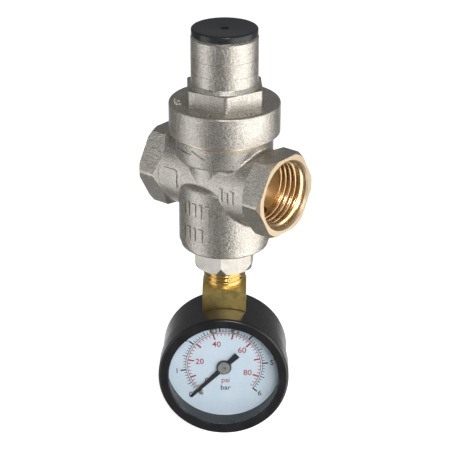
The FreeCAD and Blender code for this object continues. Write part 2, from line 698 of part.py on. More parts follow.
def gauge_socket():
    """Threaded stem, square body and the shank that carries tube and movement."""
    half = SOCKET_AF / 2
    thread_top = GAUGE_STEM_TOP_Z - GAUGE_CENTRE_Z
    thread_low = GAUGE_STEM_BOTTOM_Z - GAUGE_CENTRE_Z
    tube_low, tube_high = TUBE_CENTRE_Y - TUBE_WIDTH / 2, TUBE_CENTRE_Y + TUBE_WIDTH / 2
    core = rod(GAUGE_THREAD_ROOT_R, thread_low, thread_top)
    engaged = rod(G14_R, PLUG_BOTTOM_Z - GAUGE_CENTRE_Z + 0.3, thread_top)
    engaged = engaged.makeChamfer(0.6, edges_at(engaged, lambda p: is_circle(p, G14_R, thread_top)))
    square = block(-half, half, -half, half, SOCKET_LOW_Z, thread_low)
    square = square.common(turned([
        (0, SOCKET_LOW_Z), (half * 1.5, SOCKET_LOW_Z), (half * 1.5, thread_low - 2.0),
        (half * 0.97, thread_low), (0, thread_low),
    ]))
    shank_front, shank_back = BACK_PLATE_Y + PLATE_THICKNESS, tube_high + 0.3
    shank = block(
        -SHANK_HALF_WIDTH, SHANK_HALF_WIDTH, shank_front, shank_back, SHANK_LOW_Z, SHANK_TOP_Z)
    shape = core.fuse([engaged, square, shank])
    feed = rod(SOCKET_BORE_R, 12.0, thread_top)
    turn_feed = Part.makeCylinder(0.9, TUBE_CENTRE_Y, Vector(0, 0, 12.4), INWARD)
    side_feed = Part.makeCylinder(0.6, 4.0, Vector(0, TUBE_CENTRE_Y, 12.6), RIGHT)
    tube_slot = disc_y(TUBE_MEAN_R + TUBE_DEPTH / 2, tube_low, tube_high)
    tube_slot = tube_slot.cut(disc_y(TUBE_MEAN_R - TUBE_DEPTH / 2, tube_low, tube_high))
    sweep = TUBE_START_ANGLE - TUBE_END_ANGLE
    holes = [feed, turn_feed, side_feed]
    holes.append(tube_slot.common(wedge(TUBE_END_ANGLE, sweep, tube_low, tube_high)))
    for x in (-DIAL_SCREW_X, DIAL_SCREW_X):
        holes.append(disc_y(DIAL_SCREW_SHANK_R, -3, 1.5, x, DIAL_SCREW_Z))
    for x in (-MOVEMENT_SCREW_X, MOVEMENT_SCREW_X):
        holes.append(disc_y(MOVEMENT_SCREW_SHANK_R, -3, 1.2, x, MOVEMENT_SCREW_Z))
    save_gauge("gauge_socket", shape.cut(holes))


def gauge_case():
    inner = CASE_R - CASE_WALL
    cup = turned_y([
        (0, CASE_BACK_Y), (CASE_R - 1.6, CASE_BACK_Y), (CASE_R - 0.5, CASE_BACK_Y - 0.5),
        (CASE_R, CASE_BACK_Y - 1.6), (CASE_R, BEZEL_BACK_Y + 0.05),
        (CASE_SPIGOT_R, BEZEL_BACK_Y + 0.05), (CASE_SPIGOT_R, CASE_FRONT_Y),
        (DIAL_R + 0.1, CASE_FRONT_Y),
        (DIAL_R + 0.1, DIAL_FRONT_Y + DIAL_THICKNESS), (DIAL_R - 0.7, DIAL_FRONT_Y + DIAL_THICKNESS),
        (DIAL_R - 0.7, DIAL_FRONT_Y + 1.1), (inner, DIAL_FRONT_Y + 2.3),
        (inner, CASE_BACK_Y - CASE_WALL), (0, CASE_BACK_Y - CASE_WALL),
    ])
    half = SOCKET_AF / 2 + 0.03
    entry = block(-half, half, -half, half, 10, CASE_R + 1)
    save_gauge("gauge_case", cup.cut(entry))


def gauge_bezel():
    lip_back = BEZEL_FRONT_Y + BEZEL_LIP
    ring = turned_y([
        (CASE_SPIGOT_R, BEZEL_BACK_Y), (BEZEL_R - 0.25, BEZEL_BACK_Y), (BEZEL_R, BEZEL_BACK_Y - 0.25),
        (BEZEL_R, BEZEL_FRONT_Y), (BEZEL_INNER_R + 0.35, BEZEL_FRONT_Y),
        (BEZEL_INNER_R, BEZEL_FRONT_Y + 0.5), (BEZEL_INNER_R, lip_back), (CASE_SPIGOT_R, lip_back),
    ])
    save_gauge("gauge_bezel", round_edges(ring, 0.9, is_bezel_rim))
    window = disc_y(WINDOW_R, lip_back, lip_back + WINDOW_THICKNESS)
    save_gauge("window", window)


def is_bezel_rim(point):
    outer = abs(math.hypot(point.x, point.z) - BEZEL_R) < 0.01
    return outer and abs(point.y - BEZEL_FRONT_Y) < 0.01


def domed_head(x):
    """Shallow round head of a dial screw."""
    rise = DIAL_SCREW_HEAD_HEIGHT
    ball_r = (DIAL_SCREW_HEAD_R ** 2 + rise ** 2) / (2 * rise)
    centre = Vector(x, DIAL_FRONT_Y - rise + ball_r, DIAL_SCREW_Z)
    front = disc_y(2 * DIAL_SCREW_HEAD_R, DIAL_FRONT_Y - 2, DIAL_FRONT_Y, x, DIAL_SCREW_Z)
    return Part.makeSphere(ball_r, centre).common(front)


def dial():
    plate = disc_y(DIAL_R, DIAL_FRONT_Y, DIAL_FRONT_Y + DIAL_THICKNESS)
    stop_x, stop_z = polar(STOP_PIN_RADIUS, STOP_PIN_ANGLE)
    holes = [disc_y(DIAL_HOLE_R, -12, 0), disc_y(STOP_PIN_R, -12, 0, stop_x, stop_z)]
    screws, posts = [], []
    post_back = BACK_PLATE_Y + PLATE_THICKNESS
    for x in (-DIAL_SCREW_X, DIAL_SCREW_X):
        holes.append(disc_y(DIAL_SCREW_SHANK_R, -12, 0, x, DIAL_SCREW_Z))
        shank = disc_y(DIAL_SCREW_SHANK_R, DIAL_FRONT_Y, 1.4, x, DIAL_SCREW_Z)
        screws.append(shank.fuse(domed_head(x)))
        post = disc_y(DIAL_POST_R, DIAL_FRONT_Y + DIAL_THICKNESS, post_back, x, DIAL_SCREW_Z)
        posts.append(post.cut(disc_y(DIAL_SCREW_SHANK_R, -12, 0, x, DIAL_SCREW_Z)))
    save_gauge("dial_plate", plate.cut(holes))
    save_gauge("dial_screws", Part.makeCompound(screws))
    save_gauge("dial_posts", Part.makeCompound(posts))
    pin_front = DIAL_FRONT_Y - STOP_PIN_HEIGHT
    pin = disc_y(STOP_PIN_R, pin_front, DIAL_FRONT_Y + DIAL_THICKNESS, stop_x, stop_z)
    pin = round_edges(pin, 0.25, lambda p: abs(p.y - pin_front) < 0.01)
    save_gauge("stop_pin", pin)


def pointer():
    """Blade with a counterweight tail, pressed with its bush on the pinion's arbor."""
    front = POINTER_BACK_Y - POINTER_THICKNESS
    hub_front = front - POINTER_THICKNESS
    blade = flat_plate([
        (0, -0.85), (POINTER_LENGTH, -0.4), (POINTER_LENGTH, 0.4), (0, 0.85),
        (-1.5, 0.75), (-POINTER_TAIL, 1.0), (-POINTER_TAIL, -1.0), (-1.5, -0.75),
    ], front, POINTER_THICKNESS)
    blade.rotate(Vector(0, 0, 0), INWARD, -POINTER_ZERO_ANGLE)
    hub = disc_y(POINTER_HUB_R, hub_front, POINTER_BACK_Y)
    save_gauge("pointer", blade.fuse(hub).cut(disc_y(BUSH_SLEEVE_R, -13, DIAL_FRONT_Y)))
    head = disc_y(BUSH_R, BUSH_FRONT_Y, hub_front)
    head = round_edges(head, 0.15, lambda p: abs(p.y - BUSH_FRONT_Y) < 0.01)
    sleeve = disc_y(BUSH_SLEEVE_R, hub_front, POINTER_BACK_Y)
    save_gauge("pointer_bush", head.fuse(sleeve).cut(disc_y(ARBOR_R, -13, DIAL_FRONT_Y)))


# ---------------------------------------------------------------- gauge movement

def gear_outline(teeth, first, count, phase):
    """Trapezoid teeth with backlash, as (radius, angle) pairs from tooth first on."""
    pitch_r = GEAR_MODULE * teeth / 2
    root = pitch_r - 1.3 * GEAR_MODULE
    tip = pitch_r + 0.85 * GEAR_MODULE
    step = 360 / teeth
    outline = []
    for i in range(first, first + count):
        middle = phase + step * i
        outline += [(root, middle - 0.31 * step), (tip, middle - 0.13 * step)]
        outline += [(tip, middle + 0.13 * step), (root, middle + 0.31 * step)]
    return outline


def pinion_arbor():
    outline = [polar(r, a) for r, a in gear_outline(PINION_TEETH, 0, PINION_TEETH, SECTOR_DIRECTION)]
    gear = flat_plate(outline, SECTOR_Y - 0.7, SECTOR_THICKNESS + 1.4)
    arbor = disc_y(ARBOR_R, BUSH_FRONT_Y + 0.1, BACK_PLATE_Y + PLATE_THICKNESS)
    save_gauge("pinion_arbor", gear.fuse(arbor))


def sector_pivot():
    distance = GEAR_MODULE * (PINION_TEETH + SECTOR_FULL_TEETH) / 2
    return polar(distance, SECTOR_DIRECTION)


def sector_swing():
    return POINTER_SWEEP * PINION_TEETH / SECTOR_FULL_TEETH


def tail_pin(angle):
    """Place of the link's lower pin with the tail at an angle."""
    pivot_x, pivot_z = sector_pivot()
    dx, dz = polar(TAIL_LENGTH, angle)
    return pivot_x + dx, pivot_z + dz


def sector_gear():
    """Toothed sector, meshing with the pinion, with a slotted tail for the link."""
    pivot_x, pivot_z = sector_pivot()
    mesh_angle = SECTOR_DIRECTION - 180
    step = 360 / SECTOR_FULL_TEETH
    teeth = round(sector_swing() / step) + 4
    rim = gear_outline(SECTOR_FULL_TEETH, -teeth + 2, teeth, mesh_angle + step / 2)
    outline = [polar(3.2, rim[0][1])]
    outline += [polar(r, a) for r, a in rim]
    outline += [polar(3.2, rim[-1][1]), polar(1.0, mesh_angle + 90)]
    low, high = rim[0][1] + 6, rim[-1][1] - 6
    opening = [polar(4.6, low + 3), polar(8.9, low), polar(8.9, high), polar(4.6, high - 3)]
    blade = flat_plate(outline, SECTOR_Y, SECTOR_THICKNESS)
    blade = blade.cut(flat_plate(opening, SECTOR_Y - 1, 3))
    blade.translate(Vector(pivot_x, 0, pivot_z))
    tail_angle = TAIL_MID_ANGLE - sector_swing() / 2
    tail = block(0, TAIL_LENGTH + 2.0, SECTOR_Y, SECTOR_Y + SECTOR_THICKNESS, -1.2, 1.2)
    slot = block(TAIL_LENGTH - 0.9, TAIL_LENGTH + 0.6, SECTOR_Y - 1, SECTOR_Y + 2, -0.5, 0.5)
    tail = tail.cut(slot)
    tail.rotate(Vector(0, 0, 0), INWARD, -tail_angle)
    tail.translate(Vector(pivot_x, 0, pivot_z))
    boss = disc_y(1.9, SECTOR_Y - 0.6, SECTOR_Y + SECTOR_THICKNESS + 0.6, pivot_x, pivot_z)
    arbor = disc_y(ARBOR_R, FRONT_PLATE_Y, BACK_PLATE_Y + PLATE_THICKNESS, pivot_x, pivot_z)
    save_gauge("sector_gear", blade.fuse([tail, boss, arbor]))


def tube_tip_and_link():
    """End piece soldered in the tube, and the link from it to the sector's tail."""
    tip_x, tip_z = polar(TUBE_MEAN_R, TUBE_END_ANGLE)
    pin_x, pin_z = tail_pin(TAIL_MID_ANGLE - sector_swing() / 2)
    front = LINK_Y + LINK_THICKNESS
    hole_back = front + 1.2
    sweep = TUBE_START_ANGLE - TUBE_END_ANGLE
    lug = disc_y(1.5, front, TUBE_CENTRE_Y + TUBE_WIDTH / 2, tip_x, tip_z)
    lug = lug.cut([
        wedge(TUBE_END_ANGLE, sweep, 0, TUBE_CENTRE_Y + 4),
        disc_y(LINK_PIN_R, front, hole_back, tip_x, tip_z),
    ])
    save_gauge("tube_tip", lug)
    length = math.hypot(pin_x - tip_x, pin_z - tip_z)
    slope = math.degrees(math.atan2(pin_z - tip_z, pin_x - tip_x))
    bar = block(0, length, LINK_Y, front, -0.6, 0.6)
    bar.rotate(Vector(0, 0, 0), INWARD, -slope)
    bar.translate(Vector(tip_x, 0, tip_z))
    ends = [
        disc_y(LINK_EYE_R, LINK_Y, front, tip_x, tip_z),
        disc_y(LINK_EYE_R, LINK_Y, front, pin_x, pin_z),
        disc_y(LINK_PIN_R, LINK_Y, hole_back, tip_x, tip_z),
        disc_y(LINK_PIN_R, SECTOR_Y - 0.4, front, pin_x, pin_z),
    ]
    save_gauge("link", bar.fuse(ends))


def movement_plate(node, y_front, screw_hole_r):
    """One plate of the movement, with its two pivot holes and two holes for the screws."""
    outline = [
        (-6.8, 9.0), (6.8, 9.0), (6.8, 3.0), (5.6, -13.4), (-8.0, -13.4), (-8.0, -8.0), (-6.8, 3.0),
    ]
    pivot_x, pivot_z = sector_pivot()
    pivot_hole = ARBOR_R + PIVOT_CLEARANCE
    mid_y = y_front + PLATE_THICKNESS / 2
    back = y_front + PLATE_THICKNESS
    plate = flat_plate(outline, y_front, PLATE_THICKNESS)
    plate = round_edges(plate, 1.2, lambda p: abs(p.y - mid_y) < 0.01)
    cuts = [disc_y(pivot_hole, y_front, back), disc_y(pivot_hole, y_front, back, pivot_x, pivot_z)]
    for x in (-MOVEMENT_SCREW_X, MOVEMENT_SCREW_X):
        cuts.append(disc_y(screw_hole_r, y_front, back, x, MOVEMENT_SCREW_Z))
    save_gauge(node, plate.cut(cuts))


def movement_frame():
    """Two plates held apart by pillars, screwed to the shank."""
    movement_plate("front_plate", FRONT_PLATE_Y, MOVEMENT_SCREW_HEAD_R + 0.3)
    movement_plate("back_plate", BACK_PLATE_Y, MOVEMENT_SCREW_SHANK_R)
    front = FRONT_PLATE_Y + PLATE_THICKNESS
    pillars = [disc_y(PILLAR_R, front, BACK_PLATE_Y, x, z) for x, z in PILLARS]
    save_gauge("movement_pillars", Part.makeCompound(pillars))
    head_front = BACK_PLATE_Y - 0.8
    slot_low, slot_high = MOVEMENT_SCREW_Z - 0.15, MOVEMENT_SCREW_Z + 0.15
    screws = []
    for x in (-MOVEMENT_SCREW_X, MOVEMENT_SCREW_X):
        head = disc_y(MOVEMENT_SCREW_HEAD_R, head_front, BACK_PLATE_Y, x, MOVEMENT_SCREW_Z)
        head = head.cut(block(x - 2, x + 2, head_front, head_front + 0.3, slot_low, slot_high))
        shank = disc_y(MOVEMENT_SCREW_SHANK_R, BACK_PLATE_Y, 1.0, x, MOVEMENT_SCREW_Z)
        screws.append(head.fuse(shank))
    save_gauge("movement_screws", Part.makeCompound(screws))


def hairspring():
    """Flat spiral strip that takes the play out of the gears."""
    steps = round(HAIRSPRING_TURNS * 24)
    growth = HAIRSPRING_OUTER_R - HAIRSPRING_INNER_R
    inner, outer = [], []
    for i in range(steps + 1):
        radius = HAIRSPRING_INNER_R + growth * i / steps
        angle = 360 * HAIRSPRING_TURNS * i / steps
        inner.append(polar(radius, angle))
        outer.append(polar(radius + HAIRSPRING_THICKNESS, angle))
    save_gauge("hairspring", flat_plate(inner + outer[::-1], HAIRSPRING_Y, HAIRSPRING_WIDTH))


body()
bonnet()
cap()
adjuster()
main_spring()
piston()
balance_piston()
stem()
seat_disc_and_holder()
bottom_plug()
bourdon_tube()
gauge_socket()
gauge_case()
gauge_bezel()
dial()
pointer()
pinion_arbor()
sector_gear()
tube_tip_and_link()
movement_frame()
hairspring()
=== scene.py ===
"""Pressure reducing valve with a dial gauge: materials, threads, spring and dial markings.

Metres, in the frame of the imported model. Z is the valve axis and X the flow direction.
"""
import json
import math

import bpy
import numpy as np
from mathutils import Matrix, Vector


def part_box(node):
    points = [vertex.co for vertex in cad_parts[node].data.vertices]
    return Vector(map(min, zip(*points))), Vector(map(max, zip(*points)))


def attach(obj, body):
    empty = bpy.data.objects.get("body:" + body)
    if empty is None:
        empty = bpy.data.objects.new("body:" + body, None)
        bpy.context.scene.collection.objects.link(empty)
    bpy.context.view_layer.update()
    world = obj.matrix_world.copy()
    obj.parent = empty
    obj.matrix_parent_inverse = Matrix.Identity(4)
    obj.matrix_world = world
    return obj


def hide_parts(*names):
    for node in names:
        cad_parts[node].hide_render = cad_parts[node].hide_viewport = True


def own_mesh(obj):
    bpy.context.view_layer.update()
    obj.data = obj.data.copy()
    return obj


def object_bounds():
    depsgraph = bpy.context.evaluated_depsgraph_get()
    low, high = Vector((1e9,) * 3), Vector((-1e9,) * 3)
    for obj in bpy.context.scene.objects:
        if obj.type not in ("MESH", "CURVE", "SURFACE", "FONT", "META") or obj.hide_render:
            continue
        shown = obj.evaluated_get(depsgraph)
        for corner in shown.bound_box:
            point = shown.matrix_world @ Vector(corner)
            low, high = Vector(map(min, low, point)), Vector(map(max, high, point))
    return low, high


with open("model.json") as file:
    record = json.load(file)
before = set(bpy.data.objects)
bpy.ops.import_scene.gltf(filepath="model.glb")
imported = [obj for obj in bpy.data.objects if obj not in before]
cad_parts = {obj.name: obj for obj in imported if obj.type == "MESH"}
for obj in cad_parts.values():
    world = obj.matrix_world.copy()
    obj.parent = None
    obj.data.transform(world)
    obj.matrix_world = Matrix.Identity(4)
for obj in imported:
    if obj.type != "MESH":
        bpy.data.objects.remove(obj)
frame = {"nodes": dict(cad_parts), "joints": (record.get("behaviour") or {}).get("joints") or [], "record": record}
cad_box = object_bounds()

MM = 0.001

# Threads
PIPE_PITCH = 1.814 * MM
PIPE_DEPTH = 1.16 * MM
PIPE_CREST_X = 19.8 * MM
PIPE_RUN_IN = 4 * PIPE_PITCH
PIPE_RUN_OUT = 1.4 * PIPE_PITCH
STEM_PITCH = 1.337 * MM
STEM_DEPTH = 0.71 * MM
STEM_WALL = 5.85 * MM
STEM_THREAD_BELOW = 4.6 * MM
STEM_THREAD_ABOVE = 0.2 * MM
THREAD_BASE = 0.15 * MM
THREAD_CREST_POWER = 1.4
THREAD_SHARE = 0.985
STEPS_PER_TURN = 48
STEPS_ACROSS = 13

# Main spring
SPRING_PITCH = 4.3 * MM
SPRING_WIRE_R = 1.15 * MM
SPRING_SEAT_SHARE = 0.55
SPRING_LEVEL_TURNS = 0.75

# Where the body's plate is cut away
PORT_MOUTH_R = 11.35 * MM
BEVEL_SLOPE = 0.923
BEVEL_REACH = 34.5 * MM
FLANGE_RING_Z = 13.93 * MM
FLASH_HALF_WIDTH = 0.13 * MM
TUBE_ROOT_X = 14.5 * MM
FACE_MARGIN = 0.04 * MM

# Dial markings
BAR_FULL = 6
PSI_FULL = 86
BAR_PER_PSI = 0.0689476
SCALE_ZERO = math.radians(234.2)
SCALE_PER_BAR = math.radians(45.95)
ZERO_MARK = math.radians(225.5)
INK_RISE = 0.03 * MM
BLACK_ARC = 12.2 * MM
RED_ARC = 11.65 * MM
BLACK_NUMBERS = 15.2 * MM
RED_NUMBERS = 7.9 * MM
BAR_TEXT = 2.6 * MM
PSI_TEXT = 2.75 * MM
UNIT_TEXT = 2.5 * MM
UNIT_SIDE = 0.45 * MM
PSI_UNIT_UP = -5.35 * MM
BAR_UNIT_UP = -8.1 * MM
TEXT_WEIGHT = 0.018 * MM

# View
VIEW_AZIMUTH = math.radians(38.99)
VIEW_ELEVATION = math.radians(24.54)
VIEW_DISTANCE = 0.5107
VIEW_CENTRE_Z = -16.45 * MM
VIEW_SIDE = 0.11 * MM
VIEW_LENS = 131.57
VIEW_SENSOR = 36.0

# Floor
FLOOR_GAP = 0.02 * MM
FLOOR_HALF = 6.0


# ---------------------------------------------------------------- places

def cad_points(node):
    """Points of a CAD node as rows of one array."""
    mesh = frame["nodes"][node].data
    points = np.empty(len(mesh.vertices) * 3)
    mesh.vertices.foreach_get("co", points)
    return points.reshape(-1, 3)


def reach(node, direction):
    """Lowest and highest place of a CAD node along a direction."""
    along = cad_points(node) @ np.array(direction)
    return float(along.min()), float(along.max())


def named(entries, name):
    return next(entry for entry in entries if entry["name"] == name)


pointer_joint = named(frame["joints"], "pointer_turn")
gauge_in = Vector(pointer_joint["axis"]).normalized()
gauge_out = -gauge_in
gauge_right = gauge_in.cross(Vector((0, 0, 1)))
gauge_up = Vector((0, 0, 1))
gauge_axis_point = Vector(pointer_joint["pos_m"])
dial_front = reach("dial_plate", gauge_out)[1]
dial_centre = gauge_axis_point + gauge_out * (dial_front - gauge_axis_point.dot(gauge_out))
PORT_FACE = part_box("body")[1].x


# ---------------------------------------------------------------- new meshes

def add_piece(name, points, faces, material, smooth=True, body="valve"):
    """Object at the origin with its place in its mesh, riding on a body."""
    mesh = bpy.data.meshes.new(name)
    mesh.from_pydata(points.tolist(), [], faces)
    mesh.update()
    mesh.polygons.foreach_set("use_smooth", np.full(len(mesh.polygons), smooth))
    mesh.materials.append(material)
    piece = bpy.data.objects.new(name, mesh)
    bpy.context.scene.collection.objects.link(piece)
    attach(piece, body)
    return piece


def tube_faces(rings, corners, inside_out):
    """Quads round a tube of closed rings, with one flat face on each end.

    Corner j of ring i is point i * corners + j, and each quad joins two neighbouring
    corners of one ring to the same two of the next.
    """
    i = np.arange(rings - 1)[:, None] * corners
    j = np.arange(corners)[None, :]
    after = (j + 1) % corners
    quads = np.stack([i + j, i + after, i + corners + after, i + corners + j], axis=-1)
    quads = quads.reshape(-1, 4)
    start = np.arange(corners)[::-1]
    end = np.arange(corners) + (rings - 1) * corners
    if inside_out:
        quads, start, end = quads[:, ::-1], start[::-1], end[::-1]
    return quads.tolist() + [start.tolist(), end.tolist()]


def thread_ridge(name, axis, wall, height, pitch, start, end, phase, inward, material):
    """Rounded thread ridge that winds right-handed along a round wall.

    The turn angle t grows evenly and the ridge's middle moves on by pitch * t / 2 pi.
    Across the ridge u runs from -1/2 to 1/2, and the height over the wall is
    height * ((1 + cos 2 pi u) / 2) ^ 1.4, which rounds the crest. The ridge is a little
    narrower than the pitch, so its turns don't meet. It fades to nothing over half a
    turn at both ends, and a base just under the wall closes it.
    """
    turns = (end - start) / pitch
    rings = int(turns * STEPS_PER_TURN) + 1
    turn = np.linspace(0.0, turns * 2 * math.pi, rings)
    fade = np.clip(np.minimum(turn, turn[-1] - turn) / math.pi, 0.0, 1.0)
    fade = fade * fade * (3 - 2 * fade)
    across = np.linspace(-0.5, 0.5, STEPS_ACROSS)
    bump = ((1 + np.cos(2 * math.pi * across)) / 2) ** THREAD_CREST_POWER
    side = -1.0 if inward else 1.0
    radius = wall + side * height * fade[:, None] * bump[None, :]
    along = start + pitch * (turn[:, None] / (2 * math.pi) + THREAD_SHARE * across[None, :])
    base = np.full((rings, 2), wall - side * THREAD_BASE)
    radius = np.concatenate([radius, base], axis=1)
    along = np.concatenate([along, along[:, [-1, 0]]], axis=1)
    angle = turn[:, None] + phase
    first = radius * np.cos(angle)
    second = radius * np.sin(angle)
    order = [along, first, second] if axis == "X" else [first, second, along]
    points = np.stack(order, axis=-1).reshape(-1, 3)
    faces = tube_faces(rings, across.size + 2, not inward)
    return add_piece(name, points, faces, material)


def wound_spring(name, node, material):
    """Round wire wound right-handed in the space of the CAD spring, with flat ends.

    The wire's middle is at (R cos t, R sin t, z), and z stays level for the first and the
    last three quarters of a turn and climbs between, slightly slower near both ends.
    Its section is a circle whose height is cut off at both seats.
    """
    low, high = reach(node, (0, 0, 1))
    points = cad_points(node)
    mean = float(np.hypot(points[:, 0], points[:, 1]).max()) - SPRING_WIRE_R
    seat = SPRING_SEAT_SHARE * SPRING_WIRE_R
    climb = high - low - 2 * seat
    active = climb / SPRING_PITCH
    turns = active + 2 * SPRING_LEVEL_TURNS
    turn = np.linspace(0.0, turns, int(turns * 60) + 1)
    rise = np.clip((turn - SPRING_LEVEL_TURNS) / active, 0.0, 1.0)
    middle = low + seat + climb * (0.8 * rise + 0.2 * rise * rise * (3 - 2 * rise))
    ring = np.arange(20) * 2 * math.pi / 20
    radius = mean + SPRING_WIRE_R * np.cos(ring)[None, :] + 0 * turn[:, None]
    height = np.clip(middle[:, None] + SPRING_WIRE_R * np.sin(ring)[None, :], low, high)
    angle = 2 * math.pi * turn[:, None]
    points = np.stack([radius * np.cos(angle), radius * np.sin(angle), height], axis=-1)
    faces = tube_faces(turn.size, ring.size, True)
    return add_piece(name, points.reshape(-1, 3), faces, material)


# ---------------------------------------------------------------- dial markings

def on_dial(across, up, rise):
    """Points in space from places on the dial as the reader sees it."""
    place = np.array(dial_centre) + across[..., None] * np.array(gauge_right)
    place = place + up[..., None] * np.array(gauge_up)
    return place + rise[..., None] * np.array(gauge_out)


def scale_angle(bar):
    return SCALE_ZERO - SCALE_PER_BAR * bar


def arc_mark(name, radius, width, start, end, material):
    """Thin raised ring sector: a low rectangle carried along a circle."""
    angle = np.linspace(start, end, 241)
    radii = radius + width * np.array([-0.5, 0.5, 0.5, -0.5])
    lift = INK_RISE * np.array([-0.4, -0.4, 1.0, 1.0])
    across = radii[None, :] * np.cos(angle)[:, None]
    up = radii[None, :] * np.sin(angle)[:, None]
    points = on_dial(across, up, lift[None, :] + 0 * across).reshape(-1, 3)
    faces = tube_faces(angle.size, 4, True)
    return add_piece(name, points, faces, material, smooth=False)


def tick_marks(name, angles, inner, outer, width, material):
    """Thin raised bars along the radius, one at each angle, all in one mesh.

    Each bar's corners are its two ends times its two edges times its foot and top.
    """
    angles = np.asarray(angles)[:, None]
    ends = np.array([inner, outer, outer, inner] * 2)
    edges = width / 2 * np.array([-1, -1, 1, 1] * 2)
    lift = INK_RISE * np.array([-0.4] * 4 + [1.0] * 4)
    across = ends * np.cos(angles) - edges * np.sin(angles)
    up = ends * np.sin(angles) + edges * np.cos(angles)
    points = on_dial(across, up, lift + 0 * across).reshape(-1, 3)
    box = np.array([
        [0, 3, 2, 1], [4, 5, 6, 7], [0, 1, 5, 4], [1, 2, 6, 5], [2, 3, 7, 6], [3, 0, 4, 7],
    ])
    faces = (box[None, :, :] + 8 * np.arange(angles.size)[:, None, None]).reshape(-1, 4)
    return add_piece(name, points, faces.tolist(), material, smooth=False)


def printed_text(name, words, size, across, up, material):
    """Flat lettering as a thin mesh, centred at a place on the dial."""
    curve = bpy.data.curves.new(name + "_text", "FONT")
    curve.body = words
    curve.size = size
    curve.align_x = "CENTER"
    curve.align_y = "CENTER"
    curve.extrude = INK_RISE * 0.7
    curve.offset = TEXT_WEIGHT
    curve.resolution_u = 4
    writer = bpy.data.objects.new(name + "_text", curve)
    bpy.context.scene.collection.objects.link(writer)
    graph = bpy.context.evaluated_depsgraph_get()
    mesh = bpy.data.meshes.new_from_object(writer.evaluated_get(graph))
    bpy.data.objects.remove(writer)
    mesh.name = name
    middle = dial_centre + gauge_right * across + gauge_up * up + gauge_out * INK_RISE * 0.3
    place = Matrix((
        (gauge_right.x, gauge_up.x, gauge_out.x, middle.x),
        (gauge_right.y, gauge_up.y, gauge_out.y, middle.y),
        (gauge_right.z, gauge_up.z, gauge_out.z, middle.z),
        (0, 0, 0, 1),
    ))
    mesh.transform(place)
    mesh.materials.clear()
    mesh.materials.append(material)
    piece = bpy.data.objects.new(name, mesh)
    bpy.context.scene.collection.objects.link(piece)
    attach(piece, "valve")
    return piece


# ---------------------------------------------------------------- materials

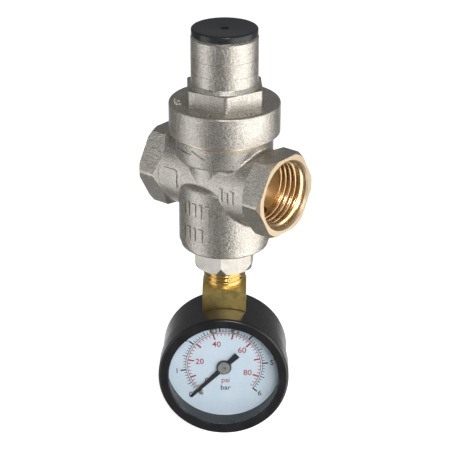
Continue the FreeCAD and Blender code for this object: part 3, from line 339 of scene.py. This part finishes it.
def forged_nickel(name, bare_ports):
    """Satin nickel plate over a forged and shot-blasted skin.

    With bare_ports the plate is missing where tools cut it away: the ports' mouths and
    their corner bevels, the ring under the flange and the flash line along the tube.
    """
    material = bpy.data.materials.new(name)
    material.use_nodes = True
    nodes = material.node_tree.nodes
    links = material.node_tree.links
    nodes.clear()

    skin = nodes.new("NodeFrame")
    skin.label = "Blasted skin"
    tint = nodes.new("NodeFrame")
    tint.label = "Plate colour"
    output = nodes.new("ShaderNodeOutputMaterial")
    output.label = "Surface"
    shader = nodes.new("ShaderNodeBsdfPrincipled")
    shader.label = "Nickel and bare brass"
    place = nodes.new("ShaderNodeTexCoord")
    place.label = "Place on the piece"
    grain = nodes.new("ShaderNodeTexNoise")
    grain.label = "Shot-blast grain"
    pits = nodes.new("ShaderNodeTexNoise")
    pits.label = "Larger dents of the forging"
    relief = nodes.new("ShaderNodeMath")
    relief.label = "Grain and dents together"
    bump = nodes.new("ShaderNodeBump")
    bump.label = "Relief of the skin"
    rough = nodes.new("ShaderNodeMapRange")
    rough.label = "Duller and brighter grains"
    # Painted shade: the lowest grains of the blast, its pits, get a darker plate colour, as if shaded, under any
    # lamp
    pit_shade_mask = nodes.new("ShaderNodeMapRange")
    pit_shade_mask.label = "Pit grains for painted shade"
    pit_shade = nodes.new("ShaderNodeMix")
    pit_shade.label = "Painted shade in the blast pits"
    cloud = nodes.new("ShaderNodeTexNoise")
    cloud.label = "Uneven plating"
    plate = nodes.new("ShaderNodeValToRGB")
    plate.label = "Plate from brownish to bright"
    for node in (grain, pits, relief, bump, rough):
        node.parent = skin
    for node in (cloud, plate, pit_shade_mask, pit_shade):
        node.parent = tint
    for node, spot in (
        (place, (-1500, 0)), (grain, (-1200, -200)), (pits, (-1200, -450)),
        (relief, (-950, -300)), (bump, (-300, -300)), (rough, (-300, -100)),
        (cloud, (-1200, 250)), (plate, (-950, 250)), (pit_shade_mask, (-650, 100)),
        (pit_shade, (-400, 250)), (shader, (200, 0)), (output, (500, 0)),
    ):
        node.location = spot

    grain.inputs["Scale"].default_value = 2500.0
    grain.inputs["Detail"].default_value = 2.0
    grain.inputs["Roughness"].default_value = 0.6
    pits.inputs["Scale"].default_value = 950.0
    pits.inputs["Detail"].default_value = 1.0
    relief.operation = "MULTIPLY_ADD"
    relief.inputs[1].default_value = 0.7
    bump.inputs["Strength"].default_value = 0.85
    bump.inputs["Distance"].default_value = 0.00014
    rough.inputs["From Min"].default_value = 0.3
    rough.inputs["From Max"].default_value = 0.7
    rough.inputs["To Min"].default_value = 0.3
    rough.inputs["To Max"].default_value = 0.44
    pit_shade_mask.inputs["From Min"].default_value = 0.36
    pit_shade_mask.inputs["From Max"].default_value = 0.6
    # Colour A is the painted shade in the pits, colour B the plate itself
    pit_shade.data_type = "RGBA"
    pit_shade.inputs["A"].default_value = (0.42, 0.39, 0.35, 1)
    cloud.inputs["Scale"].default_value = 260.0
    cloud.inputs["Detail"].default_value = 4.0
    ramp = plate.color_ramp
    ramp.elements[0].position = 0.3
    ramp.elements[0].color = (0.62, 0.585, 0.53, 1)
    ramp.elements[1].position = 0.68
    ramp.elements[1].color = (0.76, 0.73, 0.675, 1)
    shader.inputs["Metallic"].default_value = 1.0

    links.new(place.outputs["Object"], grain.inputs["Vector"])
    links.new(place.outputs["Object"], pits.inputs["Vector"])
    links.new(place.outputs["Object"], cloud.inputs["Vector"])
    links.new(pits.outputs["Fac"], relief.inputs[0])
    links.new(grain.outputs["Fac"], relief.inputs[2])
    links.new(relief.outputs["Value"], bump.inputs["Height"])
    links.new(grain.outputs["Fac"], rough.inputs["Value"])
    links.new(cloud.outputs["Fac"], plate.inputs["Fac"])
    # The grain picks out the pits that get the painted shade
    links.new(grain.outputs["Fac"], pit_shade_mask.inputs["Value"])
    links.new(pit_shade_mask.outputs["Result"], pit_shade.inputs["Factor"])
    links.new(plate.outputs["Color"], pit_shade.inputs["B"])
    links.new(rough.outputs["Result"], shader.inputs["Roughness"])
    links.new(bump.outputs["Normal"], shader.inputs["Normal"])
    links.new(shader.outputs["BSDF"], output.inputs["Surface"])
    if not bare_ports:
        links.new(pit_shade.outputs["Result"], shader.inputs["Base Color"])
        return material

    cut = nodes.new("NodeFrame")
    cut.label = "Where the plate is cut away"
    split = nodes.new("ShaderNodeSeparateXYZ")
    split.label = "Flow, side and height"
    outward = nodes.new("ShaderNodeMath")
    outward.label = "Distance from the valve axis"
    flat = nodes.new("ShaderNodeCombineXYZ")
    flat.label = "Across the ports' axis"
    bore = nodes.new("ShaderNodeVectorMath")
    bore.label = "Distance from the ports' axis"
    face = nodes.new("ShaderNodeMath")
    face.label = "Port end faces"
    mouth = nodes.new("ShaderNodeMath")
    mouth.label = "Inside the ports"
    slope = nodes.new("ShaderNodeMath")
    slope.label = "Place across the corner bevels"
    bevel = nodes.new("ShaderNodeMath")
    bevel.label = "Corner bevels"
    ring = nodes.new("ShaderNodeMath")
    ring.label = "Ring under the flange"
    aside = nodes.new("ShaderNodeMath")
    aside.label = "Distance from the flash line"
    flash = nodes.new("ShaderNodeMath")
    flash.label = "Filed flash line"
    outer = nodes.new("ShaderNodeMath")
    outer.label = "Only on the outside of the tube"
    line = nodes.new("ShaderNodeMath")
    line.label = "Flash line on the tube"
    ends = nodes.new("ShaderNodeMath")
    ends.label = "Faces and bevels"
    ports = nodes.new("ShaderNodeMath")
    ports.label = "All of the ports"
    cuts = nodes.new("ShaderNodeMath")
    cuts.label = "Ports and ring"
    bare = nodes.new("ShaderNodeMath")
    bare.label = "All bare brass"
    brass = nodes.new("ShaderNodeMix")
    brass.label = "Plate or brass"
    finish = nodes.new("ShaderNodeMix")
    finish.label = "Cut surfaces are smoother"
    calm = nodes.new("ShaderNodeMath")
    calm.label = "No blast grain on cut brass"
    for node in (split, outward, flat, bore, face, mouth, slope, bevel, ring, aside, flash,
                 outer, line, ends, ports, cuts, bare):
        node.parent = cut
    for node, spot in (
        (split, (-1250, 1000)), (outward, (-1050, 1150)), (flat, (-1050, 950)),
        (bore, (-850, 950)), (face, (-650, 1250)), (mouth, (-650, 1100)),
        (slope, (-650, 950)), (bevel, (-450, 950)), (ring, (-450, 1250)),
        (aside, (-850, 700)), (flash, (-650, 700)), (outer, (-650, 550)),
        (line, (-450, 650)), (ends, (-250, 1150)), (ports, (-100, 1050)),
        (cuts, (50, 1100)), (bare, (200, 950)), (brass, (0, 300)), (finish, (0, 100)),
        (calm, (-500, -450)),
    ):
        node.location = spot

    outward.operation = "ABSOLUTE"
    bore.operation = "LENGTH"
    face.operation = "GREATER_THAN"
    face.inputs[1].default_value = PORT_FACE - FACE_MARGIN
    mouth.operation = "LESS_THAN"
    mouth.inputs[1].default_value = PORT_MOUTH_R
    slope.operation = "MULTIPLY_ADD"
    slope.inputs[1].default_value = BEVEL_SLOPE
    bevel.operation = "GREATER_THAN"
    bevel.inputs[1].default_value = BEVEL_REACH
    ring.operation = "GREATER_THAN"
    ring.inputs[1].default_value = FLANGE_RING_Z
    aside.operation = "ABSOLUTE"
    flash.operation = "LESS_THAN"
    flash.inputs[1].default_value = FLASH_HALF_WIDTH
    outer.operation = "GREATER_THAN"
    outer.inputs[1].default_value = TUBE_ROOT_X
    line.operation = "MULTIPLY"
    ends.operation = "MAXIMUM"
    ports.operation = "MAXIMUM"
    cuts.operation = "MAXIMUM"
    bare.operation = "MAXIMUM"
    brass.data_type = "RGBA"
    brass.inputs["B"].default_value = (0.80, 0.655, 0.455, 1)
    finish.inputs["B"].default_value = 0.34
    calm.operation = "MULTIPLY_ADD"
    calm.inputs[1].default_value = -0.75
    calm.inputs[2].default_value = 0.85

    links.new(place.outputs["Object"], split.inputs["Vector"])
    links.new(split.outputs["X"], outward.inputs[0])
    links.new(split.outputs["Y"], flat.inputs["Y"])
    links.new(split.outputs["Z"], flat.inputs["Z"])
    links.new(flat.outputs["Vector"], bore.inputs[0])
    links.new(outward.outputs["Value"], face.inputs[0])
    links.new(bore.outputs["Value"], mouth.inputs[0])
    links.new(outward.outputs["Value"], slope.inputs[0])
    links.new(bore.outputs["Value"], slope.inputs[2])
    links.new(slope.outputs["Value"], bevel.inputs[0])
    links.new(split.outputs["Z"], ring.inputs[0])
    links.new(split.outputs["Y"], aside.inputs[0])
    links.new(aside.outputs["Value"], flash.inputs[0])
    links.new(outward.outputs["Value"], outer.inputs[0])
    links.new(flash.outputs["Value"], line.inputs[0])
    links.new(outer.outputs["Value"], line.inputs[1])
    links.new(face.outputs["Value"], ends.inputs[0])
    links.new(bevel.outputs["Value"], ends.inputs[1])
    links.new(ends.outputs["Value"], ports.inputs[0])
    links.new(mouth.outputs["Value"], ports.inputs[1])
    links.new(ports.outputs["Value"], cuts.inputs[0])
    links.new(ring.outputs["Value"], cuts.inputs[1])
    links.new(cuts.outputs["Value"], bare.inputs[0])
    links.new(line.outputs["Value"], bare.inputs[1])
    links.new(bare.outputs["Value"], brass.inputs["Factor"])
    links.new(pit_shade.outputs["Result"], brass.inputs["A"])
    links.new(brass.outputs["Result"], shader.inputs["Base Color"])
    links.new(bare.outputs["Value"], finish.inputs["Factor"])
    links.new(rough.outputs["Result"], finish.inputs["A"])
    links.new(finish.outputs["Result"], shader.inputs["Roughness"])
    links.new(bare.outputs["Value"], calm.inputs[0])
    links.new(calm.outputs["Value"], bump.inputs["Strength"])
    return material


def machined_metal(name, dark, light, roughness, axis, lines, depth):
    """Turned or brushed metal with tool lines across an axis and a little tarnish."""
    material = bpy.data.materials.new(name)
    material.use_nodes = True
    nodes = material.node_tree.nodes
    links = material.node_tree.links
    nodes.clear()

    cut = nodes.new("NodeFrame")
    cut.label = "Tool lines"
    age = nodes.new("NodeFrame")
    age.label = "Tarnish"
    output = nodes.new("ShaderNodeOutputMaterial")
    output.label = "Surface"
    shader = nodes.new("ShaderNodeBsdfPrincipled")
    shader.label = "Machined metal"
    place = nodes.new("ShaderNodeTexCoord")
    place.label = "Place on the piece"
    stretch = nodes.new("ShaderNodeMapping")
    stretch.label = "Lines run round the axis"
    grooves = nodes.new("ShaderNodeTexNoise")
    grooves.label = "Fine tool lines"
    rough = nodes.new("ShaderNodeMapRange")
    rough.label = "Lines catch the light"
    bump = nodes.new("ShaderNodeBump")
    bump.label = "Depth of the lines"
    stain = nodes.new("ShaderNodeTexNoise")
    stain.label = "Patches of tarnish"
    colour = nodes.new("ShaderNodeValToRGB")
    colour.label = "Metal from dull to clean"
    for node in (stretch, grooves, rough, bump):
        node.parent = cut
    for node in (stain, colour):
        node.parent = age
    for node, spot in (
        (place, (-1200, 0)), (stretch, (-1000, -200)), (grooves, (-750, -200)),
        (rough, (-450, -100)), (bump, (-450, -350)), (stain, (-750, 250)),
        (colour, (-450, 250)), (shader, (0, 0)), (output, (300, 0)),
    ):
        node.location = spot

    stretch.inputs["Scale"].default_value = axis
    grooves.inputs["Scale"].default_value = lines
    grooves.inputs["Detail"].default_value = 3.0
    rough.inputs["From Min"].default_value = 0.3
    rough.inputs["From Max"].default_value = 0.7
    rough.inputs["To Min"].default_value = roughness * 0.8
    rough.inputs["To Max"].default_value = roughness * 1.25
    bump.inputs["Strength"].default_value = 0.5
    bump.inputs["Distance"].default_value = depth
    stain.inputs["Scale"].default_value = 420.0
    stain.inputs["Detail"].default_value = 5.0
    stain.inputs["Roughness"].default_value = 0.6
    ramp = colour.color_ramp
    ramp.elements[0].position = 0.33
    ramp.elements[0].color = dark
    ramp.elements[1].position = 0.62
    ramp.elements[1].color = light
    shader.inputs["Metallic"].default_value = 1.0

    links.new(place.outputs["Object"], stretch.inputs["Vector"])
    links.new(stretch.outputs["Vector"], grooves.inputs["Vector"])
    links.new(grooves.outputs["Fac"], rough.inputs["Value"])
    links.new(grooves.outputs["Fac"], bump.inputs["Height"])
    links.new(place.outputs["Object"], stain.inputs["Vector"])
    links.new(stain.outputs["Fac"], colour.inputs["Fac"])
    links.new(colour.outputs["Color"], shader.inputs["Base Color"])
    links.new(rough.outputs["Result"], shader.inputs["Roughness"])
    links.new(bump.outputs["Normal"], shader.inputs["Normal"])
    links.new(shader.outputs["BSDF"], output.inputs["Surface"])
    return material


def moulded(name, dark, light, smooth, rough_to, coat, grain_size, grain_depth):
    """Moulded or printed matter: a fine skin, faint cloudiness and a clear top gloss."""
    material = bpy.data.materials.new(name)
    material.use_nodes = True
    nodes = material.node_tree.nodes
    links = material.node_tree.links
    nodes.clear()

    skin = nodes.new("NodeFrame")
    skin.label = "Skin of the moulding"
    tone = nodes.new("NodeFrame")
    tone.label = "Tone"
    output = nodes.new("ShaderNodeOutputMaterial")
    output.label = "Surface"
    shader = nodes.new("ShaderNodeBsdfPrincipled")
    shader.label = "Moulded matter"
    place = nodes.new("ShaderNodeTexCoord")
    place.label = "Place on the piece"
    fine = nodes.new("ShaderNodeTexNoise")
    fine.label = "Fine skin"
    bump = nodes.new("ShaderNodeBump")
    bump.label = "Relief of the skin"
    wide = nodes.new("ShaderNodeTexNoise")
    wide.label = "Handling marks"
    rough = nodes.new("ShaderNodeMapRange")
    rough.label = "Gloss from clean to handled"
    colour = nodes.new("ShaderNodeValToRGB")
    colour.label = "Tone of the matter"
    for node in (fine, bump, wide, rough):
        node.parent = skin
    colour.parent = tone
    for node, spot in (
        (place, (-1100, 0)), (fine, (-850, -300)), (bump, (-500, -300)),
        (wide, (-850, 0)), (rough, (-500, -50)), (colour, (-500, 250)),
        (shader, (0, 0)), (output, (300, 0)),
    ):
        node.location = spot

    fine.inputs["Scale"].default_value = grain_size
    fine.inputs["Detail"].default_value = 2.0
    bump.inputs["Strength"].default_value = 0.35
    bump.inputs["Distance"].default_value = grain_depth
    wide.inputs["Scale"].default_value = 180.0
    wide.inputs["Detail"].default_value = 5.0
    rough.inputs["From Min"].default_value = 0.35
    rough.inputs["From Max"].default_value = 0.7
    rough.inputs["To Min"].default_value = smooth
    rough.inputs["To Max"].default_value = rough_to
    ramp = colour.color_ramp
    ramp.elements[0].position = 0.3
    ramp.elements[0].color = dark
    ramp.elements[1].position = 0.7
    ramp.elements[1].color = light
    shader.inputs["Coat Weight"].default_value = coat
    shader.inputs["Coat Roughness"].default_value = 0.06

    links.new(place.outputs["Object"], fine.inputs["Vector"])
    links.new(place.outputs["Object"], wide.inputs["Vector"])
    links.new(fine.outputs["Fac"], bump.inputs["Height"])
    links.new(wide.outputs["Fac"], rough.inputs["Value"])
    links.new(wide.outputs["Fac"], colour.inputs["Fac"])
    links.new(colour.outputs["Color"], shader.inputs["Base Color"])
    links.new(rough.outputs["Result"], shader.inputs["Roughness"])
    links.new(bump.outputs["Normal"], shader.inputs["Normal"])
    links.new(shader.outputs["BSDF"], output.inputs["Surface"])
    return material


def clear_window():
    """Clear flat window with faint smears in its gloss."""
    material = bpy.data.materials.new("clear_window")
    material.use_nodes = True
    nodes = material.node_tree.nodes
    links = material.node_tree.links
    nodes.clear()

    smears = nodes.new("NodeFrame")
    smears.label = "Smears"
    output = nodes.new("ShaderNodeOutputMaterial")
    output.label = "Surface"
    clear = nodes.new("ShaderNodeBsdfTransparent")
    clear.label = "Seen through"
    gloss = nodes.new("ShaderNodeBsdfGlossy")
    gloss.label = "Reflection of the pane"
    edge = nodes.new("ShaderNodeFresnel")
    edge.label = "More gloss at a slant"
    pane = nodes.new("ShaderNodeMixShader")
    pane.label = "Pane"
    place = nodes.new("ShaderNodeTexCoord")
    place.label = "Place on the piece"
    wiped = nodes.new("ShaderNodeTexNoise")
    wiped.label = "Wiping marks"
    rough = nodes.new("ShaderNodeMapRange")
    rough.label = "Clean to smeared"
    for node in (wiped, rough):
        node.parent = smears
    for node, spot in (
        (place, (-900, -200)), (wiped, (-700, -200)), (rough, (-450, -200)),
        (gloss, (-200, -200)), (clear, (-200, 0)), (edge, (-200, 200)),
        (pane, (50, 0)), (output, (300, 0)),
    ):
        node.location = spot

    clear.inputs["Color"].default_value = (0.965, 0.98, 0.985, 1)
    gloss.inputs["Color"].default_value = (1, 1, 1, 1)
    edge.inputs["IOR"].default_value = 1.45
    wiped.inputs["Scale"].default_value = 90.0
    wiped.inputs["Detail"].default_value = 4.0
    rough.inputs["To Min"].default_value = 0.01
    rough.inputs["To Max"].default_value = 0.06

    links.new(place.outputs["Object"], wiped.inputs["Vector"])
    links.new(wiped.outputs["Fac"], rough.inputs["Value"])
    links.new(rough.outputs["Result"], gloss.inputs["Roughness"])
    links.new(edge.outputs["Fac"], pane.inputs["Fac"])
    links.new(clear.outputs["BSDF"], pane.inputs[1])
    links.new(gloss.outputs["BSDF"], pane.inputs[2])
    links.new(pane.outputs["Shader"], output.inputs["Surface"])
    return material


def studio_floor():
    """Pale floor that gives its own light, so it stays plain and nearly white."""
    material = bpy.data.materials.new("studio_floor")
    material.use_nodes = True
    nodes = material.node_tree.nodes
    links = material.node_tree.links
    nodes.clear()

    output = nodes.new("ShaderNodeOutputMaterial")
    output.label = "Surface"
    paper = nodes.new("ShaderNodeBsdfDiffuse")
    paper.label = "Paper"
    glow = nodes.new("ShaderNodeEmission")
    glow.label = "Own light"
    lit = nodes.new("ShaderNodeAddShader")
    lit.label = "Lit paper"
    under = nodes.new("ShaderNodeBsdfTransparent")
    under.label = "Clear from below"
    side = nodes.new("ShaderNodeNewGeometry")
    side.label = "Upper or lower side"
    sheet = nodes.new("ShaderNodeMixShader")
    sheet.label = "Sheet"
    for node, spot in (
        (paper, (-500, 100)), (glow, (-500, -50)), (lit, (-250, 50)), (under, (-250, -150)),
        (side, (-250, 300)), (sheet, (0, 0)), (output, (250, 0)),
    ):
        node.location = spot

    paper.inputs["Color"].default_value = (0.6, 0.6, 0.6, 1)
    glow.inputs["Color"].default_value = (1, 1, 1, 1)
    glow.inputs["Strength"].default_value = 0.85

    links.new(paper.outputs["BSDF"], lit.inputs[0])
    links.new(glow.outputs["Emission"], lit.inputs[1])
    links.new(side.outputs["Backfacing"], sheet.inputs["Fac"])
    links.new(lit.outputs["Shader"], sheet.inputs[1])
    links.new(under.outputs["BSDF"], sheet.inputs[2])
    links.new(sheet.outputs["Shader"], output.inputs["Surface"])
    return material


def dress(material, *names):
    """Give CAD nodes a material in place of the one they came with."""
    for name in names:
        piece = frame["nodes"][name]
        if not piece.material_slots:
            piece.data.materials.append(material)
        for slot in piece.material_slots:
            slot.material = material


body_nickel = forged_nickel("body_nickel", True)
bonnet_nickel = forged_nickel("bonnet_nickel", False)
plug_nickel = machined_metal(
    "plug_nickel", (0.44, 0.41, 0.37, 1), (0.53, 0.505, 0.465, 1), 0.36,
    (1, 1, 6), 900.0, 0.00001)
socket_brass = machined_metal(
    "socket_brass", (0.68, 0.50, 0.16, 1), (0.92, 0.70, 0.28, 1), 0.34,
    (3, 3, 1), 1500.0, 0.00002)
thread_brass = machined_metal(
    "thread_brass", (0.72, 0.48, 0.16, 1), (0.90, 0.68, 0.32, 1), 0.16,
    (1, 1, 1), 1500.0, 0.000002)
port_thread_brass = machined_metal(
    "port_thread_brass", (0.78, 0.52, 0.27, 1), (0.92, 0.71, 0.45, 1), 0.22,
    (1, 1, 1), 1200.0, 0.000002)
turned_brass = machined_metal(
    "turned_brass", (0.68, 0.49, 0.22, 1), (0.84, 0.66, 0.36, 1), 0.25,
    (1, 1, 8), 900.0, 0.00001)
stamped_brass = machined_metal(
    "stamped_brass", (0.66, 0.50, 0.22, 1), (0.83, 0.68, 0.36, 1), 0.3,
    (1, 1, 1), 700.0, 0.00001)
tube_bronze = machined_metal(
    "tube_bronze", (0.58, 0.36, 0.19, 1), (0.76, 0.52, 0.31, 1), 0.28,
    (1, 1, 1), 600.0, 0.00001)
bright_steel = machined_metal(
    "bright_steel", (0.78, 0.77, 0.74, 1), (0.90, 0.89, 0.86, 1), 0.42,
    (1, 1, 1), 1400.0, 0.00001)
spring_steel = machined_metal(
    "spring_steel", (0.33, 0.33, 0.34, 1), (0.5, 0.5, 0.51, 1), 0.3,
    (1, 1, 1), 900.0, 0.00001)
gloss_black = moulded(
    "gloss_black", (0.006, 0.006, 0.007, 1), (0.011, 0.011, 0.012, 1), 0.2, 0.28, 0.0,
    900.0, 0.000006)
cap_black = moulded(
    "cap_black", (0.007, 0.008, 0.010, 1), (0.013, 0.014, 0.017, 1), 0.24, 0.34, 0.0,
    1500.0, 0.00002)
seal_rubber = moulded(
    "seal_rubber", (0.018, 0.018, 0.018, 1), (0.035, 0.035, 0.034, 1), 0.55, 0.7, 0.0,
    2500.0, 0.00003)
white_seal = moulded(
    "white_seal", (0.80, 0.80, 0.78, 1), (0.88, 0.88, 0.86, 1), 0.4, 0.5, 0.0,
    1800.0, 0.00002)
dial_enamel = moulded(
    "dial_enamel", (0.70, 0.79, 0.88, 1), (0.76, 0.84, 0.92, 1), 0.35, 0.45, 0.0,
    2200.0, 0.000006)
black_ink = moulded(
    "black_ink", (0.010, 0.012, 0.02, 1), (0.02, 0.024, 0.036, 1), 0.4, 0.5, 0.0,
    2500.0, 0.000004)
red_ink = moulded(
    "red_ink", (0.40, 0.012, 0.02, 1), (0.50, 0.02, 0.03, 1), 0.4, 0.5, 0.0,
    2500.0, 0.000004)
pointer_paint = moulded(
    "pointer_paint", (0.012, 0.013, 0.017, 1), (0.022, 0.023, 0.028, 1), 0.3, 0.4, 0.1,
    2200.0, 0.00001)
window_pane = clear_window()

dress(body_nickel, "body")
dress(bonnet_nickel, "bonnet")
dress(plug_nickel, "bottom_plug")
dress(socket_brass, "gauge_socket")
dress(turned_brass, "piston", "balance_piston", "disc_holder", "adjusting_nut", "stem")
dress(stamped_brass, "sector_gear", "front_plate", "back_plate", "movement_pillars", "link",
      "tube_tip", "pinion_arbor")
dress(tube_bronze, "bourdon_tube")
dress(bright_steel, "thrust_washer", "piston_nut", "holder_nut", "dial_screws", "dial_posts",
      "movement_screws", "stop_pin", "hairspring", "pointer_bush")
dress(spring_steel, "main_spring")
dress(gloss_black, "gauge_case", "gauge_bezel")
dress(cap_black, "cap")
dress(seal_rubber, "piston_o_ring", "balance_o_ring", "plug_o_ring", "seat_disc")
dress(white_seal, "gauge_seal")
dress(window_pane, "window")
dress(dial_enamel, "dial_plate")
dress(pointer_paint, "pointer")


# ---------------------------------------------------------------- threads and spring

outlet = named(frame["record"]["mounts"], "outlet")
pipe_wall = outlet["dims"]["r_mm"] * MM
thread_ridge(
    "outlet_thread", "X", pipe_wall, PIPE_DEPTH, PIPE_PITCH,
    PIPE_CREST_X - PIPE_RUN_IN, PIPE_CREST_X + PIPE_RUN_OUT, 0.0,
    True, port_thread_brass)
thread_ridge(
    "inlet_thread", "X", pipe_wall, PIPE_DEPTH, PIPE_PITCH,
    -PIPE_CREST_X - PIPE_RUN_OUT, -PIPE_CREST_X + PIPE_RUN_IN, 0.6,
    True, port_thread_brass)

plug_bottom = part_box("bottom_plug")[0].z
thread_ridge(
    "stem_thread", "Z", STEM_WALL, STEM_DEPTH, STEM_PITCH,
    plug_bottom - STEM_THREAD_BELOW, plug_bottom + STEM_THREAD_ABOVE, 0.9,
    False, thread_brass)

spring = wound_spring("main_spring_coil", "main_spring", spring_steel)
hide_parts("main_spring")
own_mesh(spring)


# ---------------------------------------------------------------- dial markings

bar_tenths = np.arange(3, BAR_FULL * 10 + 1)
bar_minor = bar_tenths[bar_tenths % 5 != 0] / 10
bar_mid = bar_tenths[bar_tenths % 10 == 5] / 10
bar_major = np.arange(1, BAR_FULL + 1)
psi_steps = np.arange(4, PSI_FULL + 1, 2)
psi_minor = psi_steps[psi_steps % 10 != 0]
psi_major = psi_steps[psi_steps % 10 == 0]

arc_mark("bar_arc", BLACK_ARC, 0.16 * MM, ZERO_MARK, scale_angle(BAR_FULL), black_ink)
arc_mark("psi_arc", RED_ARC, 0.2 * MM, ZERO_MARK, scale_angle(PSI_FULL * BAR_PER_PSI), red_ink)
tick_marks("bar_minor_ticks", scale_angle(bar_minor),
           BLACK_ARC, BLACK_ARC + 0.85 * MM, 0.2 * MM, black_ink)
tick_marks("bar_mid_ticks", scale_angle(bar_mid),
           BLACK_ARC, BLACK_ARC + 1.35 * MM, 0.28 * MM, black_ink)
tick_marks("bar_major_ticks", np.append(scale_angle(bar_major), ZERO_MARK),
           BLACK_ARC, BLACK_ARC + 1.85 * MM, 0.46 * MM, black_ink)
tick_marks("psi_minor_ticks", scale_angle(psi_minor * BAR_PER_PSI),
           RED_ARC - 0.95 * MM, RED_ARC, 0.22 * MM, red_ink)
tick_marks("psi_major_ticks", np.append(scale_angle(psi_major * BAR_PER_PSI), ZERO_MARK),
           RED_ARC - 1.95 * MM, RED_ARC, 0.52 * MM, red_ink)

for value in range(BAR_FULL + 1):
    angle = ZERO_MARK if value == 0 else scale_angle(value)
    printed_text(f"bar_number_{value}", str(value), BAR_TEXT, BLACK_NUMBERS * math.cos(angle),
                 BLACK_NUMBERS * math.sin(angle), black_ink)
for value in range(0, 81, 20):
    angle = ZERO_MARK if value == 0 else scale_angle(value * BAR_PER_PSI)
    printed_text(f"psi_number_{value}", str(value), PSI_TEXT, RED_NUMBERS * math.cos(angle),
                 RED_NUMBERS * math.sin(angle), red_ink)
printed_text("psi_unit", "psi", UNIT_TEXT, UNIT_SIDE, PSI_UNIT_UP, red_ink)
printed_text("bar_unit", "bar", UNIT_TEXT, UNIT_SIDE, BAR_UNIT_UP, black_ink)


# ---------------------------------------------------------------- studio

def soft_light(name, azimuth, elevation, distance, width, height, strength, tone):
    """Even rectangular lamp that faces the valve; azimuth 0 is at -Y and grows towards +X."""
    lamp = bpy.data.lights.new(name, "AREA")
    lamp.shape = "RECTANGLE"
    lamp.size = width
    lamp.size_y = height
    lamp.energy = strength * math.pi * width * height
    lamp.color = tone
    holder = bpy.data.objects.new(name, lamp)
    bpy.context.scene.collection.objects.link(holder)
    a, e = math.radians(azimuth), math.radians(elevation)
    away = Vector((math.sin(a) * math.cos(e), -math.cos(a) * math.cos(e), math.sin(e)))
    holder.location = away * distance + Vector((0, 0, VIEW_CENTRE_Z))
    holder.rotation_euler = away.to_track_quat("Z", "Y").to_euler()
    return holder


soft_light("right_softbox", 101, -12, 0.62, 0.9, 1.0, 1.9, (1.0, 0.985, 0.96))
soft_light("left_softbox", -32, -12, 0.66, 0.4, 1.0, 1.25, (0.98, 0.99, 1.0))
soft_light("front_softbox", 48, 32, 0.7, 0.2, 0.16, 14.0, (1.0, 1.0, 1.0))
dial_fill = soft_light("dial_fill", 58, 28, 0.75, 0.5, 0.4, 10.5, (1.0, 1.0, 1.0))
dial_fill.visible_glossy = False  # lights the dial without a reflection in the metal
soft_light("rear_softbox", 218, -32, 0.9, 0.8, 0.7, 0.75, (1.0, 1.0, 1.0))

world = bpy.data.worlds.new("studio_air")
bpy.context.scene.world = world
world.use_nodes = True
air = world.node_tree.nodes["Background"]
air.label = "Even grey air"
air.inputs["Color"].default_value = (1, 1, 1, 1)
air.inputs["Strength"].default_value = 0.2

floor_z = cad_box[0][2] - FLOOR_GAP
floor_mesh = bpy.data.meshes.new("floor")
corners = [
    (-FLOOR_HALF, -FLOOR_HALF, floor_z), (FLOOR_HALF, -FLOOR_HALF, floor_z),
    (FLOOR_HALF, FLOOR_HALF, floor_z), (-FLOOR_HALF, FLOOR_HALF, floor_z),
]
floor_mesh.from_pydata(corners, [], [(0, 1, 2, 3)])
floor_mesh.materials.append(studio_floor())
floor = bpy.data.objects.new("floor", floor_mesh)
bpy.context.scene.collection.objects.link(floor)
floor.visible_glossy = False
floor.visible_diffuse = False
floor.visible_shadow = False

bpy.context.scene.view_settings.view_transform = "Standard"

camera_data = bpy.data.cameras.new("camera")
camera_data.lens = VIEW_LENS
camera_data.sensor_width = VIEW_SENSOR
camera = bpy.data.objects.new("camera", camera_data)
bpy.context.scene.collection.objects.link(camera)
back = Vector((
    math.sin(VIEW_AZIMUTH) * math.cos(VIEW_ELEVATION),
    -math.cos(VIEW_AZIMUTH) * math.cos(VIEW_ELEVATION),
    math.sin(VIEW_ELEVATION),
))
side = Vector((math.cos(VIEW_AZIMUTH), math.sin(VIEW_AZIMUTH), 0))
camera.location = Vector((0, 0, VIEW_CENTRE_Z)) + side * VIEW_SIDE + back * VIEW_DISTANCE
camera.rotation_euler = back.to_track_quat("Z", "Y").to_euler()
bpy.context.scene.camera = camera
